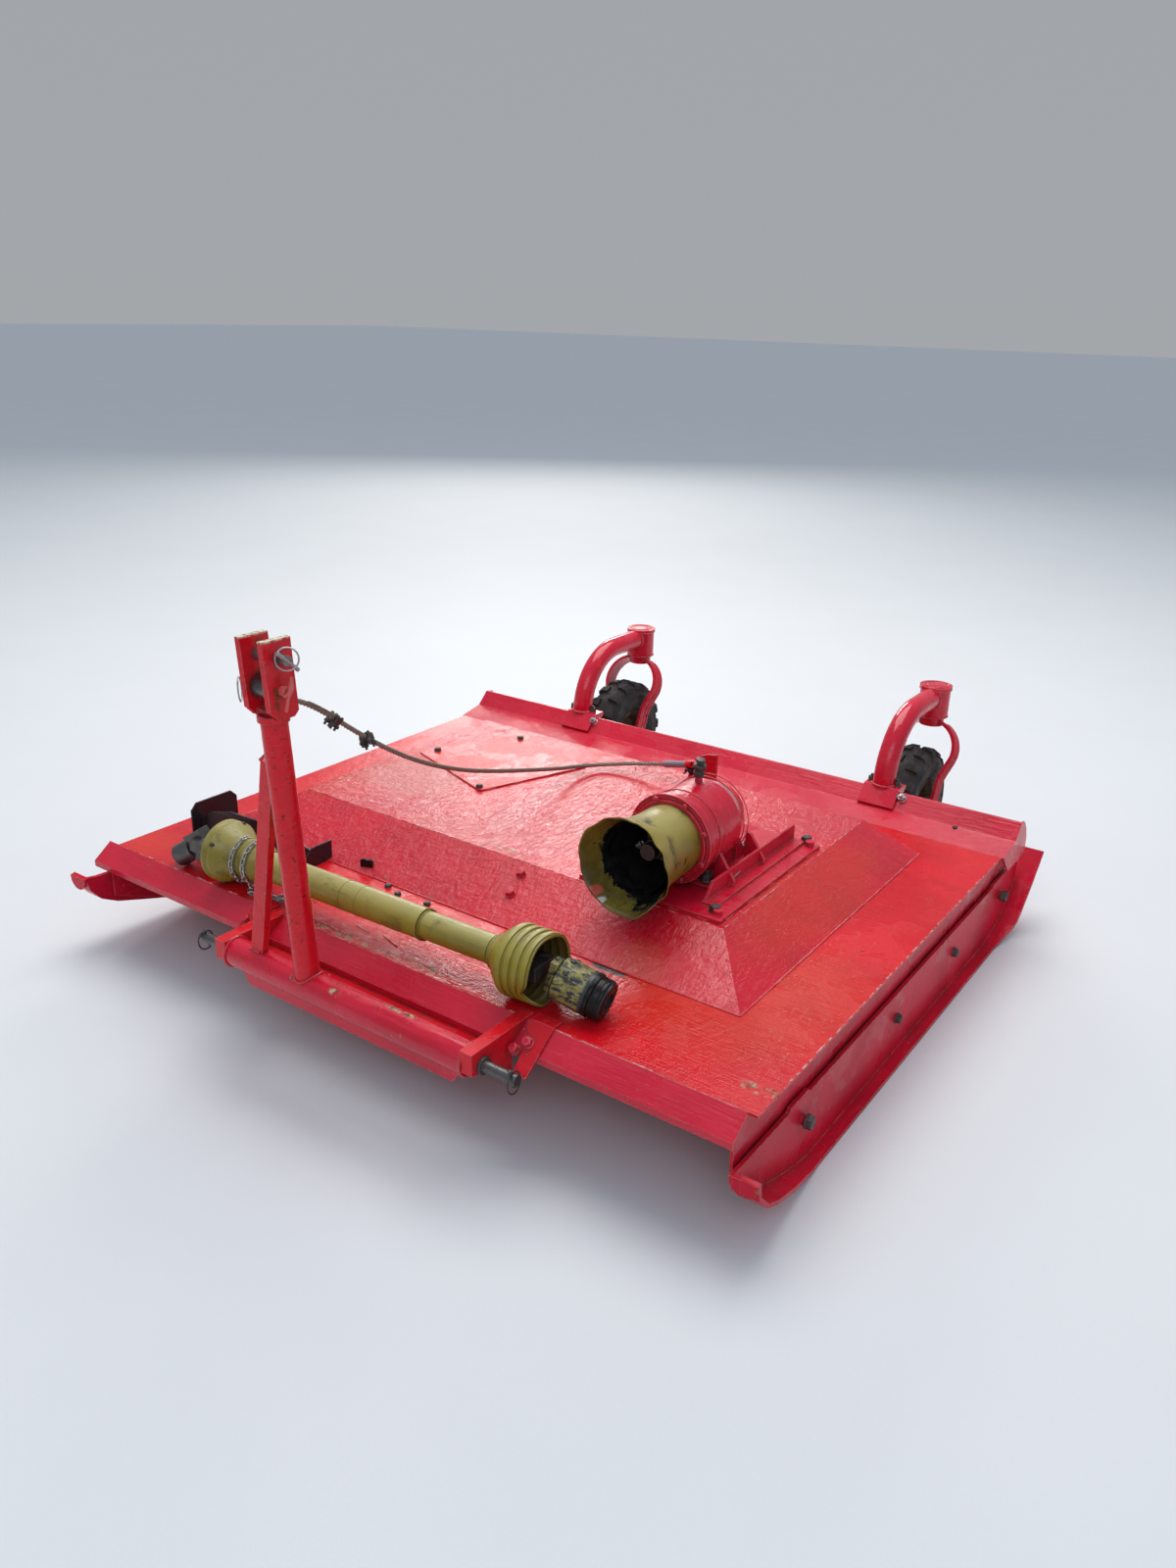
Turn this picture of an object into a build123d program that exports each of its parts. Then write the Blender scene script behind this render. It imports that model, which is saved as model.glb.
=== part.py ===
from build123d import *
import math
import os

# Rotary slasher with two rotors, three-point headstock and rear castor wheels.
# Millimetres. +Z up, +X to the machine's right, -Y towards the tractor.
# All lengths along Y are first measured from the top edge of the front rail,
# and the finished pieces are then moved so that the origin is the middle of the
# machine on the ground.

# Deck
DECK_WIDTH = 1690.0
DECK_TOP = 240.0
DECK_REAR = 1240.0
SHEET = 5.0
HUMP_TOP = 310.0
HUMP_TOP_LEFT = -630.0
HUMP_TOP_RIGHT = 550.0
HUMP_TOP_FRONT = 400.0
HUMP_TOP_REAR = 1090.0
HUMP_FOOT_LEFT = -755.0
HUMP_FOOT_RIGHT = 680.0
HUMP_FOOT_FRONT = 240.0
HUMP_FOOT_REAR = 1134.0

# Front rail
RAIL_LEFT = -878.0
RAIL_RIGHT = 826.0
RAIL_RUN = 46.0
RAIL_DROP = 34.0
RAIL_LIP = 14.0

# Rear rail
REAR_BEND_RUN = 78.0
REAR_BEND_RISE = 16.0
REAR_TOP_RUN = 38.0
REAR_TOP_RISE = 37.0
REAR_SKIRT_BOTTOM = 130.0
REAR_RAIL_END = 846.0
GUSSET_THICK = 6.0
GUSSET_BOTTOM = 188.0
GUSSET_REAR = 1421.0

# Side plates and skids
SIDE_FACE = 826.0
SIDE_THICK = 6.0
SIDE_BOTTOM = 60.0
SKID_THICK = 8.0
SKID_TOP = 158.0
SKID_LUG_RISE = 7.0
SKID_OVERHANG = 39.0
SKID_OVERHANG_WIDE = 57.0
SKID_EDGE = SIDE_FACE + SKID_OVERHANG
SKID_EDGE_WIDE = SIDE_FACE + SKID_OVERHANG_WIDE
SKID_GAP = 4.0
# nose of each skid down to where it lies flat, y and z; the left one is bent further up
SKID_NOSE_RIGHT = [
    (-57.0, 157.0),
    (-50.0, 122.0),
    (-15.0, 85.0),
    (25.0, 66.0),
    (100.0, 36.0),
    (190.0, 9.0),
    (240.0, 0.0),
]
SKID_NOSE_LEFT = [
    (-104.0, 192.0),
    (-94.0, 158.0),
    (-70.0, 130.0),
    (-30.0, 108.0),
    (30.0, 88.0),
    (117.0, 60.0),
    (280.0, 0.0),
]
SKID_LEFT_RISE = 28.0
SKID_LIP_THICK = 7.0
SKID_LIP_DEPTH = 31.0
SKID_REAR_FLAT = 1230.0
SKID_REAR_TIP = 1499.0
SKID_REAR_HEIGHT = 170.0
SKID_BOLTS = [(200.0, 110.0), (1296.0, 117.0)]
SKID_BOLT_RADIUS = 10.0

# Headstock
ARM_THICK = 28.0
ARM_LEFT_OUTER = -300.0
ARM_RIGHT_OUTER = 375.0
ARM_FRONT = -157.0
ARM_TOP = 244.0
ARM_NOSE = 43.0
ARM_HEEL_Y = -72.0
ARM_HEEL_Z = 152.0
ARM_SEAT = 18.0
STRAP_GAP = 10.0
STRAP_WIDTH = 51.0
STRAP_THICK = 4.0
STRAP_TOE_Y = -82.0
TUBE_RADIUS = 30.0
TUBE_WALL = 5.0
TUBE_Y = -128.0
TUBE_Z = 211.0
KEEL_THICK = 10.0
KEEL_DEPTH = 31.0
KEEL_MARGIN = 16.0
KEEL_CHAMFER = 22.0
REAR_BAR_Y = -66.0
REAR_BAR_TOP = 192.0
REAR_BAR_LEG = 28.0
REAR_BAR_THICK = 5.0
MAST_RADIUS = 24.5
MAST_FOOT = (-61.0, TUBE_Y)
MAST_TOP = (-77.5, -151.0, 762.0)
BRACE_FOOT_X = -204.0
BRACE_HEAD = (-104.0, -145.0, 665.0)
BRACE_WIDTH = 32.0
BRACE_DEPTH = 16.0
EAR_THICK = 12.0
EAR_GAP = 45.0
EAR_DEPTH = 63.0
EAR_LEAN = 9.0
EAR_BOTTOM = 762.0
EAR_BASE = 12.0
EAR_HEIGHT = 144.0
EAR_TOP = EAR_BOTTOM + EAR_HEIGHT
EAR_CUT_FRONT = 17.0
EAR_CUT_REAR = 10.0
COLLAR_WELD_RADIUS = 29.0
COLLAR_WELD_HEIGHT = 10.0
TOP_PIN_DROP = 34.0
TOP_PIN_Z = EAR_TOP - TOP_PIN_DROP
TOP_PIN_RADIUS = 9.5
TOP_PIN_OVERHANG = 24.0
ROLLER_DROP = 58.0
ROLLER_Z = TOP_PIN_Z - ROLLER_DROP
ROLLER_RADIUS = 22.0
ROLLER_LENGTH = 43.0
ROLLER_PIN_RADIUS = 8.0
LOWER_PIN_RADIUS = 11.0
LOWER_PIN_LENGTH = 78.0
LOWER_PIN_SHOULDER = 17.0

# Gearbox and its guard
GEAR_X = 365.0
GEAR_Z = 421.0
GEAR_PLATE_THICK = 8.0
GEAR_PLATE_HALF = 171.0
GEAR_PLATE_FRONT = 410.0
GEAR_PLATE_REAR = 870.0
FLANGE_FACE = 488.0
FLANGE_THICK = 13.0
FLANGE_RADIUS = 98.0
BODY_RADIUS = 91.0
BODY_REAR = 668.0
DOME_RADIUS = 58.0
DOME_LENGTH = 34.0
GEAR_FOOT_HALF = 82.0
GEAR_FOOT_FRONT = 522.0
GEAR_FOOT_REAR = 756.0
GEAR_FOOT_THICK = 13.0
GEAR_NECK_RADIUS = 66.0
GUARD_MOUTH_Y = 312.0
GUARD_MOUTH_RADIUS = 107.0
GUARD_NECK_Y = 415.0
GUARD_NECK_RADIUS = 77.0
GUARD_THICK = 3.5
INPUT_RADIUS = 17.5
INPUT_END = 402.0
INPUT_SEAT_RADIUS = 20.0
RUNNING_GAP = 0.05

# Cover over the left rotor's drive
COVER_X = -383.0
COVER_Y = 858.0
COVER_SIDE = 322.0
COVER_TURN = -20.0
COVER_THICK = 4.0

# Rotors and blades
ROTOR_LEFT = (-383.0, 858.0)
ROTOR_RIGHT = (365.0, 636.0)
ROTOR_REACH = 372.0
BEARING_RADIUS = 62.0
BEARING_FLANGE_RADIUS = 92.0
BEARING_FLANGE_THICK = 10.0
BEARING_BOTTOM = 172.0
CASE_FLOOR_THICK = 6.0
ROTOR_SHAFT_RADIUS = 20.0
ROTOR_HUB_RADIUS = 48.0
ROTOR_HUB_HEIGHT = 34.0
ROTOR_PAN_RADIUS = 180.0
ROTOR_PAN_THICK = 5.0
BAR_TOP = 126.0
BAR_THICK = 12.0
BAR_WIDTH = 80.0
BLADE_PIVOT = 262.0
BLADE_WIDTH = 60.0
BLADE_THICK = 8.0
BLADE_PIN_RADIUS = 9.0
BLADE_GAP = 3.0

# Castor wheels
CASTOR_X = 485.0
CASTOR_Y = 1686.0
HEAD_TOP = 497.0
HEAD_BOTTOM = 410.0
HEAD_RADIUS = 41.0
HEAD_CAP_RADIUS = 44.0
HEAD_CAP_HEIGHT = 9.0
ARM_TUBE_RADIUS = 29.0
ARM_TUBE_Z = 466.0
ARM_TUBE_FOOT_Y = 1372.0
ARM_TUBE_BEND = 166.0
CLAMP_WIDTH = 96.0
CLAMP_WINGS = 26.0
CLAMP_THICK = 9.0
CLAMP_BACK_DROP = 84.0
STEM_RADIUS = 18.0
STEM_COLLAR_RADIUS = 33.0
STEM_TOP_GAP = 14.0
FORK_BAR_DEPTH = 46.0
FORK_BAR_THICK = 10.0
FORK_CROWN_Z = 396.0
FORK_BULGE = 87.0
FORK_BULGE_Z = 305.0
FORK_BEND = 80.0
FORK_LEG = 66.0
FORK_LEG_Z = 240.0
FORK_FOOT_Z = 138.0
WHEEL_TRAIL = 100.0
TYRE_RADIUS = 170.0
TYRE_WIDTH = 104.0
TYRE_LUG = 7.0
TYRE_LUGS = 18
RIM_RADIUS = 88.0
RIM_WIDTH = 84.0
WHEEL_HUB_RADIUS = 26.0
WHEEL_HUB_LENGTH = 112.0
AXLE_RADIUS = 10.0

# Drive shaft laid on the front of the deck
SHAFT_LEFT = -690.0
SHAFT_LEFT_Y = 39.0
SHAFT_RIGHT = 527.0
SHAFT_RIGHT_Y = 64.0
CONE_RADIUS = 69.0
CONE_START = 183.0
CONE_RIDGE = 6.0
CONE_RIDGE_PITCH = 19.0
CONE_LENGTH = 69.0
NECK_RADIUS = 45.0
NECK_RIDGES = 3
NECK_RIDGE_PITCH = 17.0
NECK_GROOVE = 2.5
NECK_END = 322.0
OUTER_TUBE_RADIUS = 32.0
INNER_TUBE_RADIUS = 29.0
TUBE_STEP = 768.0
BELL_START = 952.0
BELL_NOSE = 40.0
BELL_RADIUS = 71.0
BELL_GROOVE = 4.0
BELL_RIBS = 4
BELL_RIB_PITCH = 18.5
BELL_SHOULDER = BELL_START + BELL_NOSE
BELL_END = BELL_SHOULDER + BELL_RIBS * BELL_RIB_PITCH
GUARD_SHELL = 3.0
CHAIN_WIRE = 2.8
CHAIN_OVERLAP = 1.2
CHAIN_LINK_LENGTH = 18.0
CHAIN_LINK_WIDTH = 11.0
CHAIN_LINK_CORNER = 3.4
CHAIN_TURN_RADIUS = 51.5
CHAIN_TURNS = (262.0, 298.0)
CHAIN_HEAP = [
    (-398.0, 14.0),
    (-370.0, 26.0),
    (-340.0, 34.0),
    (-304.0, 34.0),
    (-312.0, 48.0),
    (-338.0, 44.0),
    (-326.0, 28.0),
    (-306.0, 50.0),
]
SEAT_GAP = 0.3
CLUTCH_JOINT_DEPTH = 22.0
CLUTCH_JOINT = BELL_END - CLUTCH_JOINT_DEPTH
CLUTCH_YAW = 8.0
CLUTCH_START = 38.0
CLUTCH_END = 124.0
CLUTCH_RADIUS = 42.0
COLLAR_RADIUS = 38.0
COLLAR_END = 144.0
SOCKET_RADIUS = 17.5
SOCKET_START = 102.0
YOKE_JOINT = 118.0
YOKE_YAW = -10.0
YOKE_RADIUS = 26.0
YOKE_EAR = 32.0
YOKE_HUB_START = 34.0
YOKE_HUB_END = 88.0
YOKE_STUB_RADIUS = 18.0

# Black shield behind the drive shaft
SHIELD_LEFT = -722.0
SHIELD_RIGHT = -398.0
SHIELD_THICK = 4.0
SHIELD_LEFT_FRONT = 118.0
SHIELD_LEFT_REAR = 250.0
SHIELD_LEFT_TOP = 335.0
SHIELD_LEFT_REAR_FOOT = 263.0
SHIELD_RIGHT_FRONT = 180.0
SHIELD_RIGHT_REAR = 255.0
SHIELD_RIGHT_TOP = 287.0
SHIELD_WEB_LEFT_Y = 146.0
SHIELD_WEB_RIGHT_Y = 190.0
SHIELD_ARCH = [
    (-722.0, 294.0),
    (-690.0, 314.0),
    (-628.0, 327.0),
    (-528.0, 322.0),
    (-460.0, 305.0),
    (-398.0, 284.0),
]
SHIELD_CORNER = 16.0

# Stay cable from the headstock to its bracket on the hump
BRACKET_LEFT = 86.0
BRACKET_RIGHT = 166.0
BRACKET_Y = 1046.0
BRACKET_LOW_HEIGHT = 26.0
BRACKET_HEIGHT = 90.0
BRACKET_THICK = 6.0
BRACKET_FOOT = 34.0
CABLE_RADIUS = 5.5
SLEEVE_RADIUS = 8.5
SLEEVE_LENGTH = 58.0
ANCHOR_RADIUS = 10.0
ANCHOR_LENGTH = 30.0
CABLE_EYE_Y = -112.0
CABLE_EYE_Z = 779.0
CABLE_POINTS = [
    (-80.0, -90.0, 774.0),
    (-86.0, -24.0, 733.0),
    (-96.0, 52.0, 676.0),
    (-104.0, 150.0, 607.0),
    (-112.0, 262.0, 542.0),
    (-124.0, 392.0, 484.0),
    (-137.0, 532.0, 436.0),
    (-150.0, 676.0, 393.0),
    (-165.0, 812.0, 352.0),
    (-168.0, 912.0, 329.0),
    (-140.0, 974.0, 322.0),
    (-84.0, 1003.0, 330.0),
    (-20.0, 1014.0, 341.0),
    (28.0, 1021.0, 350.0),
]


def block(x0, x1, y0, y1, z0, z1):
    return Pos((x0 + x1) / 2, (y0 + y1) / 2, (z0 + z1) / 2) * Box(x1 - x0, y1 - y0, z1 - z0)


def rod_x(x0, x1, y, z, radius):
    return Pos((x0 + x1) / 2, y, z) * Rot(0, 90, 0) * Cylinder(radius, x1 - x0)


def rod_y(y0, y1, x, z, radius):
    return Pos(x, (y0 + y1) / 2, z) * Rot(90, 0, 0) * Cylinder(radius, y1 - y0)


def rod_z(z0, z1, x, y, radius):
    return Pos(x, y, (z0 + z1) / 2) * Cylinder(radius, z1 - z0)


def slab_x(points, x0, x1):
    # a flat plate: its outline is given as (y, z) points, its faces stand at x0 and x1
    face = make_face(Polyline(*[(x0, y, z) for y, z in points], close=True))
    return extrude(face, amount=x1 - x0, dir=(1, 0, 0))


def slab_z(points, z0, z1):
    face = make_face(Polyline(*[(x, y, z0) for x, y in points], close=True))
    return extrude(face, amount=z1 - z0, dir=(0, 0, 1))


def turned_y(points, x, z):
    # a turned piece round an axis along Y: points are (radius, y), closed
    face = make_face(Polyline(*[(x + r, y, z) for r, y in points], close=True))
    return revolve(face, axis=Axis((x, 0, z), (0, 1, 0)), revolution_arc=360)


def turned_x(points):
    # a turned piece round the X axis: points are (x, radius), closed
    face = make_face(Polyline(*[(x, r, 0) for x, r in points], close=True))
    return revolve(face, axis=Axis.X, revolution_arc=360)


def strut(start, end, radius):
    line = Line(start, end)
    return sweep(Plane(origin=start, z_dir=line % 0) * Circle(radius), path=line)


parts = {}

# Deck plate, and the hollow trapezoid drive case on it


def rectangle_face(x0, x1, y0, y1, z):
    return make_face(Polyline((x0, y0, z), (x1, y0, z), (x1, y1, z), (x0, y1, z), close=True))


def hump_solid(inset, bottom, top):
    # the hump's outline, moved inwards by the sheet's thickness for the hollow
    share = (bottom - (DECK_TOP - inset)) / (HUMP_TOP - DECK_TOP)
    low = [
        HUMP_FOOT_LEFT + inset + share * (HUMP_TOP_LEFT - HUMP_FOOT_LEFT),
        HUMP_FOOT_RIGHT - inset + share * (HUMP_TOP_RIGHT - HUMP_FOOT_RIGHT),
        HUMP_FOOT_FRONT + inset + share * (HUMP_TOP_FRONT - HUMP_FOOT_FRONT),
        HUMP_FOOT_REAR - inset + share * (HUMP_TOP_REAR - HUMP_FOOT_REAR),
    ]
    high = [
        HUMP_TOP_LEFT + inset,
        HUMP_TOP_RIGHT - inset,
        HUMP_TOP_FRONT + inset,
        HUMP_TOP_REAR - inset,
    ]
    return loft([rectangle_face(*low, bottom), rectangle_face(*high, top)], ruled=True)


deck_half = DECK_WIDTH / 2
deck_under = DECK_TOP - SHEET
parts["deck_plate"] = block(-deck_half, deck_half, 0, DECK_REAR, deck_under, DECK_TOP)
hump_outer = hump_solid(0, DECK_TOP, HUMP_TOP)
hump_inner = hump_solid(SHEET, DECK_TOP, HUMP_TOP - SHEET)
parts["drive_case"] = hump_outer - hump_inner
case_floor = block(
    HUMP_FOOT_LEFT - 20,
    HUMP_FOOT_RIGHT + 20,
    HUMP_FOOT_FRONT - 20,
    HUMP_FOOT_REAR + 20,
    deck_under - CASE_FLOOR_THICK,
    deck_under,
)

# Front rail: a sloping face under the deck's front edge, with a short lip
rail_low = DECK_TOP - RAIL_DROP
rail_slope = math.atan2(RAIL_DROP, RAIL_RUN)
rail_dy = SHEET * math.sin(rail_slope)
rail_dz = SHEET * math.cos(rail_slope)
parts["front_rail"] = slab_x(
    [
        (0, DECK_TOP),
        (-RAIL_RUN, rail_low),
        (-RAIL_RUN, rail_low - RAIL_LIP),
        (-RAIL_RUN + SHEET, rail_low - RAIL_LIP),
        (-RAIL_RUN + SHEET, rail_low - rail_dz),
        (0, deck_under),
    ],
    RAIL_LEFT,
    RAIL_RIGHT,
)

# Rear rail: two facets that rise behind the deck, the skirt that hangs from them
# between the side plates, and a rounded end plate on each end
side_inner = SIDE_FACE - SIDE_THICK
rear_bend = (DECK_REAR + REAR_BEND_RUN, DECK_TOP + REAR_BEND_RISE)
rear_top = (rear_bend[0] + REAR_TOP_RUN, rear_bend[1] + REAR_TOP_RISE)
skirt_y = rear_top[0] + SHEET
rear_rail = slab_x(
    [
        (DECK_REAR, DECK_TOP),
        rear_bend,
        rear_top,
        (skirt_y, rear_top[1]),
        (skirt_y, deck_under),
        (skirt_y - SHEET, deck_under),
        (skirt_y - SHEET, rear_top[1] - 2 * SHEET),
        (rear_bend[0], rear_bend[1] - SHEET),
        (DECK_REAR, deck_under),
    ],
    -REAR_RAIL_END,
    REAR_RAIL_END,
)
rear_rail += block(
    -side_inner, side_inner, skirt_y - SHEET, skirt_y, REAR_SKIRT_BOTTOM, deck_under
)
gusset_profile = [
    (DECK_REAR, deck_under),
    (DECK_REAR, DECK_TOP),
    rear_bend,
    rear_top,
    (rear_top[0] + 24, rear_top[1] - 4),
    (GUSSET_REAR - 19, rear_top[1] - 29),
    (GUSSET_REAR - 5, DECK_TOP),
    (GUSSET_REAR, DECK_TOP - 25),
    (GUSSET_REAR, GUSSET_BOTTOM),
    (DECK_REAR + 50, GUSSET_BOTTOM),
]
rear_rail += slab_x(gusset_profile, REAR_RAIL_END, REAR_RAIL_END + GUSSET_THICK)
rear_rail += slab_x(gusset_profile, -REAR_RAIL_END - GUSSET_THICK, -REAR_RAIL_END)
parts["rear_rail"] = rear_rail

# Side plates under the deck's edges
side_profile = [
    (-RAIL_RUN + SHEET, SKID_TOP - 28),
    (-RAIL_RUN + SHEET, rail_low - rail_dz),
    (0, deck_under),
    (skirt_y, deck_under),
    (skirt_y, SIDE_BOTTOM + 40),
    (skirt_y - 60, SIDE_BOTTOM),
    (120, SIDE_BOTTOM),
]


def side_plate(side):
    if side > 0:
        return slab_x(side_profile, side_inner, SIDE_FACE)
    return slab_x(side_profile, -SIDE_FACE, -side_inner)


# Skids: an upright web bolted outside the side plate and a runner turned out at its foot
skid_top_line = [
    (1430.0, SKID_TOP + 3),
    (1355.0, SKID_TOP + SKID_LUG_RISE),
    (1240.0, SKID_TOP + SKID_LUG_RISE),
    (1232.0, SKID_TOP),
    (222.0, SKID_TOP),
    (216.0, SKID_TOP + SKID_LUG_RISE),
    (146.0, SKID_TOP + SKID_LUG_RISE),
    (140.0, SKID_TOP),
]
skid_top_end = {
    1: [(-44.0, SKID_TOP)],
    -1: [(40.0, SKID_TOP), (0.0, SKID_TOP + SKID_LEFT_RISE), (-74.0, SKID_TOP + SKID_LEFT_RISE + 4)],
}
skid_tail_line = [
    (SKID_REAR_FLAT, 0.0),
    (1330.0, 24.0),
    (1370.0, 50.0),
    (1436.0, 106.0),
    (SKID_REAR_TIP, SKID_REAR_HEIGHT),
]
skid_web_in = SIDE_FACE + SKID_GAP
skid_web_out = skid_web_in + SKID_THICK
skid_plan = [
    (skid_web_in, -200.0),
    (SKID_EDGE_WIDE, -200.0),
    (SKID_EDGE_WIDE, 27.0),
    (SKID_EDGE, 240.0),
    (SKID_EDGE, 1230.0),
    (SKID_EDGE_WIDE, 1347.0),
    (SKID_EDGE_WIDE, SKID_REAR_TIP + 20),
    (skid_web_in, SKID_REAR_TIP + 20),
]


def lifted(points, height):
    # the line moved square to itself by the runner's thickness
    moved = []
    for i, (y, z) in enumerate(points):
        before = points[max(i - 1, 0)]
        after = points[min(i + 1, len(points) - 1)]
        angle = math.atan2(after[1] - before[1], after[0] - before[0])
        moved.append((y - height * math.sin(angle), z + height * math.cos(angle)))
    return moved


def skid(side):
    nose = SKID_NOSE_RIGHT if side > 0 else SKID_NOSE_LEFT
    foot_line = nose + skid_tail_line
    foot = lifted(foot_line, SKID_THICK)
    web = slab_x(foot[:-1] + skid_top_line + skid_top_end[side], skid_web_in, skid_web_out)
    runner = slab_x(foot_line + foot[::-1], skid_web_in, SKID_EDGE_WIDE)
    runner = runner & slab_z(skid_plan, -1, SKID_REAR_HEIGHT + 40)
    # the nose ends in a lip shaped like a half disc, hanging to the front
    nose_y, nose_z = nose[0]
    lip_radius = (SKID_EDGE_WIDE - skid_web_in) / 2
    lip_x = skid_web_in + lip_radius
    lip_z = nose_z - SKID_LIP_DEPTH + lip_radius
    lip_front = nose_y - SKID_LIP_THICK / 2
    lip_back = nose_y + SKID_LIP_THICK / 2
    lip = rod_y(lip_front, lip_back, lip_x, lip_z, lip_radius)
    lip &= block(skid_web_in, SKID_EDGE_WIDE, lip_front, lip_back, 0, nose_z)
    lip += block(skid_web_in, SKID_EDGE_WIDE, lip_front, lip_back, lip_z, nose_z)
    piece = web + runner + lip
    for y, z in SKID_BOLTS:
        piece += rod_x(SIDE_FACE, skid_web_out + 9, y, z, SKID_BOLT_RADIUS)
    if side < 0:
        piece = mirror(piece, about=Plane.YZ)
    return piece


for name, side in (("left", -1), ("right", 1)):
    parts["side_plate_" + name] = side_plate(side)
    parts["skid_" + name] = skid(side)

# Headstock: two arms on the front rail, the cross tube between them with its keel,
# and the ledge behind it
arm_profile = [
    (ARM_FRONT, ARM_TOP),
    (ARM_FRONT, ARM_TOP - ARM_NOSE),
    (TUBE_Y + 6, ARM_TOP - ARM_NOSE - 10),
    (ARM_HEEL_Y, ARM_HEEL_Z),
    (-RAIL_RUN, ARM_HEEL_Z),
    (-RAIL_RUN, rail_low),
    (0, DECK_TOP),
    (ARM_SEAT, DECK_TOP),
    (ARM_SEAT, ARM_TOP),
]
arm_left_inner = ARM_LEFT_OUTER + ARM_THICK
arm_right_inner = ARM_RIGHT_OUTER - ARM_THICK
for name, x0 in (("left", ARM_LEFT_OUTER), ("right", arm_right_inner)):
    parts["hitch_arm_" + name] = slab_x(arm_profile, x0, x0 + ARM_THICK)

# Straps beside the arms, from the deck's edge down over the rail to a free toe
strap_fall = RAIL_DROP / RAIL_RUN
strap_toe_z = DECK_TOP + strap_fall * STRAP_TOE_Y
strap_profile = [
    (ARM_SEAT + 4, DECK_TOP),
    (ARM_SEAT + 4, DECK_TOP + STRAP_THICK),
    (-STRAP_THICK * 0.4, DECK_TOP + STRAP_THICK),
    (STRAP_TOE_Y - 3, strap_toe_z + STRAP_THICK * 0.9),
    (STRAP_TOE_Y, strap_toe_z),
    (0, DECK_TOP),
]
for name, face, side in (("left", ARM_LEFT_OUTER, -1), ("right", ARM_RIGHT_OUTER, 1)):
    near = face + side * STRAP_GAP
    far = near + side * STRAP_WIDTH
    strap_plan = [
        (near, ARM_SEAT + 10),
        (far, ARM_SEAT + 10),
        (far, STRAP_TOE_Y - 10),
        (near + side * 22, STRAP_TOE_Y - 10),
        (near + side * 16, -30),
        (near, -14),
    ]
    strap = slab_x(strap_profile, min(near, far), max(near, far))
    strap = strap & slab_z(strap_plan, 100, 300)
    parts["hitch_strap_" + name] = strap

cross_outer = rod_x(arm_left_inner, arm_right_inner, TUBE_Y, TUBE_Z, TUBE_RADIUS)
cross_bore = rod_x(arm_left_inner, arm_right_inner, TUBE_Y, TUBE_Z, TUBE_RADIUS - TUBE_WALL)
keel_left = arm_left_inner + KEEL_MARGIN
keel_right = arm_right_inner - KEEL_MARGIN
keel_bottom = TUBE_Z - TUBE_RADIUS - KEEL_DEPTH
keel = extrude(
    make_face(
        Polyline(
            (keel_left, TUBE_Y - KEEL_THICK / 2, TUBE_Z - TUBE_RADIUS + 2),
            (keel_right, TUBE_Y - KEEL_THICK / 2, TUBE_Z - TUBE_RADIUS + 2),
            (keel_right - KEEL_CHAMFER, TUBE_Y - KEEL_THICK / 2, keel_bottom),
            (keel_left + KEEL_CHAMFER, TUBE_Y - KEEL_THICK / 2, keel_bottom),
            close=True,
        )
    ),
    amount=KEEL_THICK,
    dir=(0, 1, 0),
)
parts["cross_tube"] = cross_outer + keel - cross_bore
parts["hitch_rear_bar"] = slab_x(
    [
        (REAR_BAR_Y, REAR_BAR_TOP),
        (REAR_BAR_Y, REAR_BAR_TOP - REAR_BAR_LEG),
        (REAR_BAR_Y + REAR_BAR_THICK, REAR_BAR_TOP - REAR_BAR_LEG),
        (REAR_BAR_Y + REAR_BAR_THICK, REAR_BAR_TOP - REAR_BAR_THICK),
        (-RAIL_RUN, REAR_BAR_TOP - REAR_BAR_THICK),
        (-RAIL_RUN, REAR_BAR_TOP),
    ],
    arm_left_inner,
    arm_right_inner,
)

# Mast with its brace, standing on the cross tube
mast_start = (MAST_FOOT[0], MAST_FOOT[1], TUBE_Z)
mast_beyond = tuple(Vector(mast_start) + (Vector(MAST_TOP) - Vector(mast_start)) * 1.1)
mast_solid = strut(mast_start, mast_beyond, MAST_RADIUS)
above_base = block(-400, 400, -400, 200, TUBE_Z, EAR_BOTTOM)
mast_tube = mast_solid & above_base
mast_tube += rod_z(
    EAR_BOTTOM - COLLAR_WELD_HEIGHT, EAR_BOTTOM, MAST_TOP[0], MAST_TOP[1], COLLAR_WELD_RADIUS
)
parts["mast_tube"] = mast_tube - cross_outer

brace_start = Vector(BRACE_FOOT_X, TUBE_Y, TUBE_Z)
brace_end = Vector(BRACE_HEAD)
brace_plane = Plane(origin=brace_start, x_dir=(1, 0, 0), z_dir=brace_end - brace_start)
brace_length = (brace_end - brace_start).length
brace_solid = extrude(brace_plane * Rectangle(BRACE_WIDTH, BRACE_DEPTH), amount=brace_length)
parts["mast_brace"] = (brace_solid - cross_outer - mast_solid).solids().sort_by(SortBy.VOLUME)[-1]

# Clevis for the top link: base, two leaning ears, the link pin and a roller
ear_mid_x = MAST_TOP[0]
ear_low_y = MAST_TOP[1] - 2
ear_high_y = ear_low_y - EAR_LEAN


def ear_y(z):
    # the middle of the leaning ears at a height
    return ear_low_y + (ear_high_y - ear_low_y) * (z - EAR_BOTTOM) / (EAR_TOP - EAR_BOTTOM)


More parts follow.
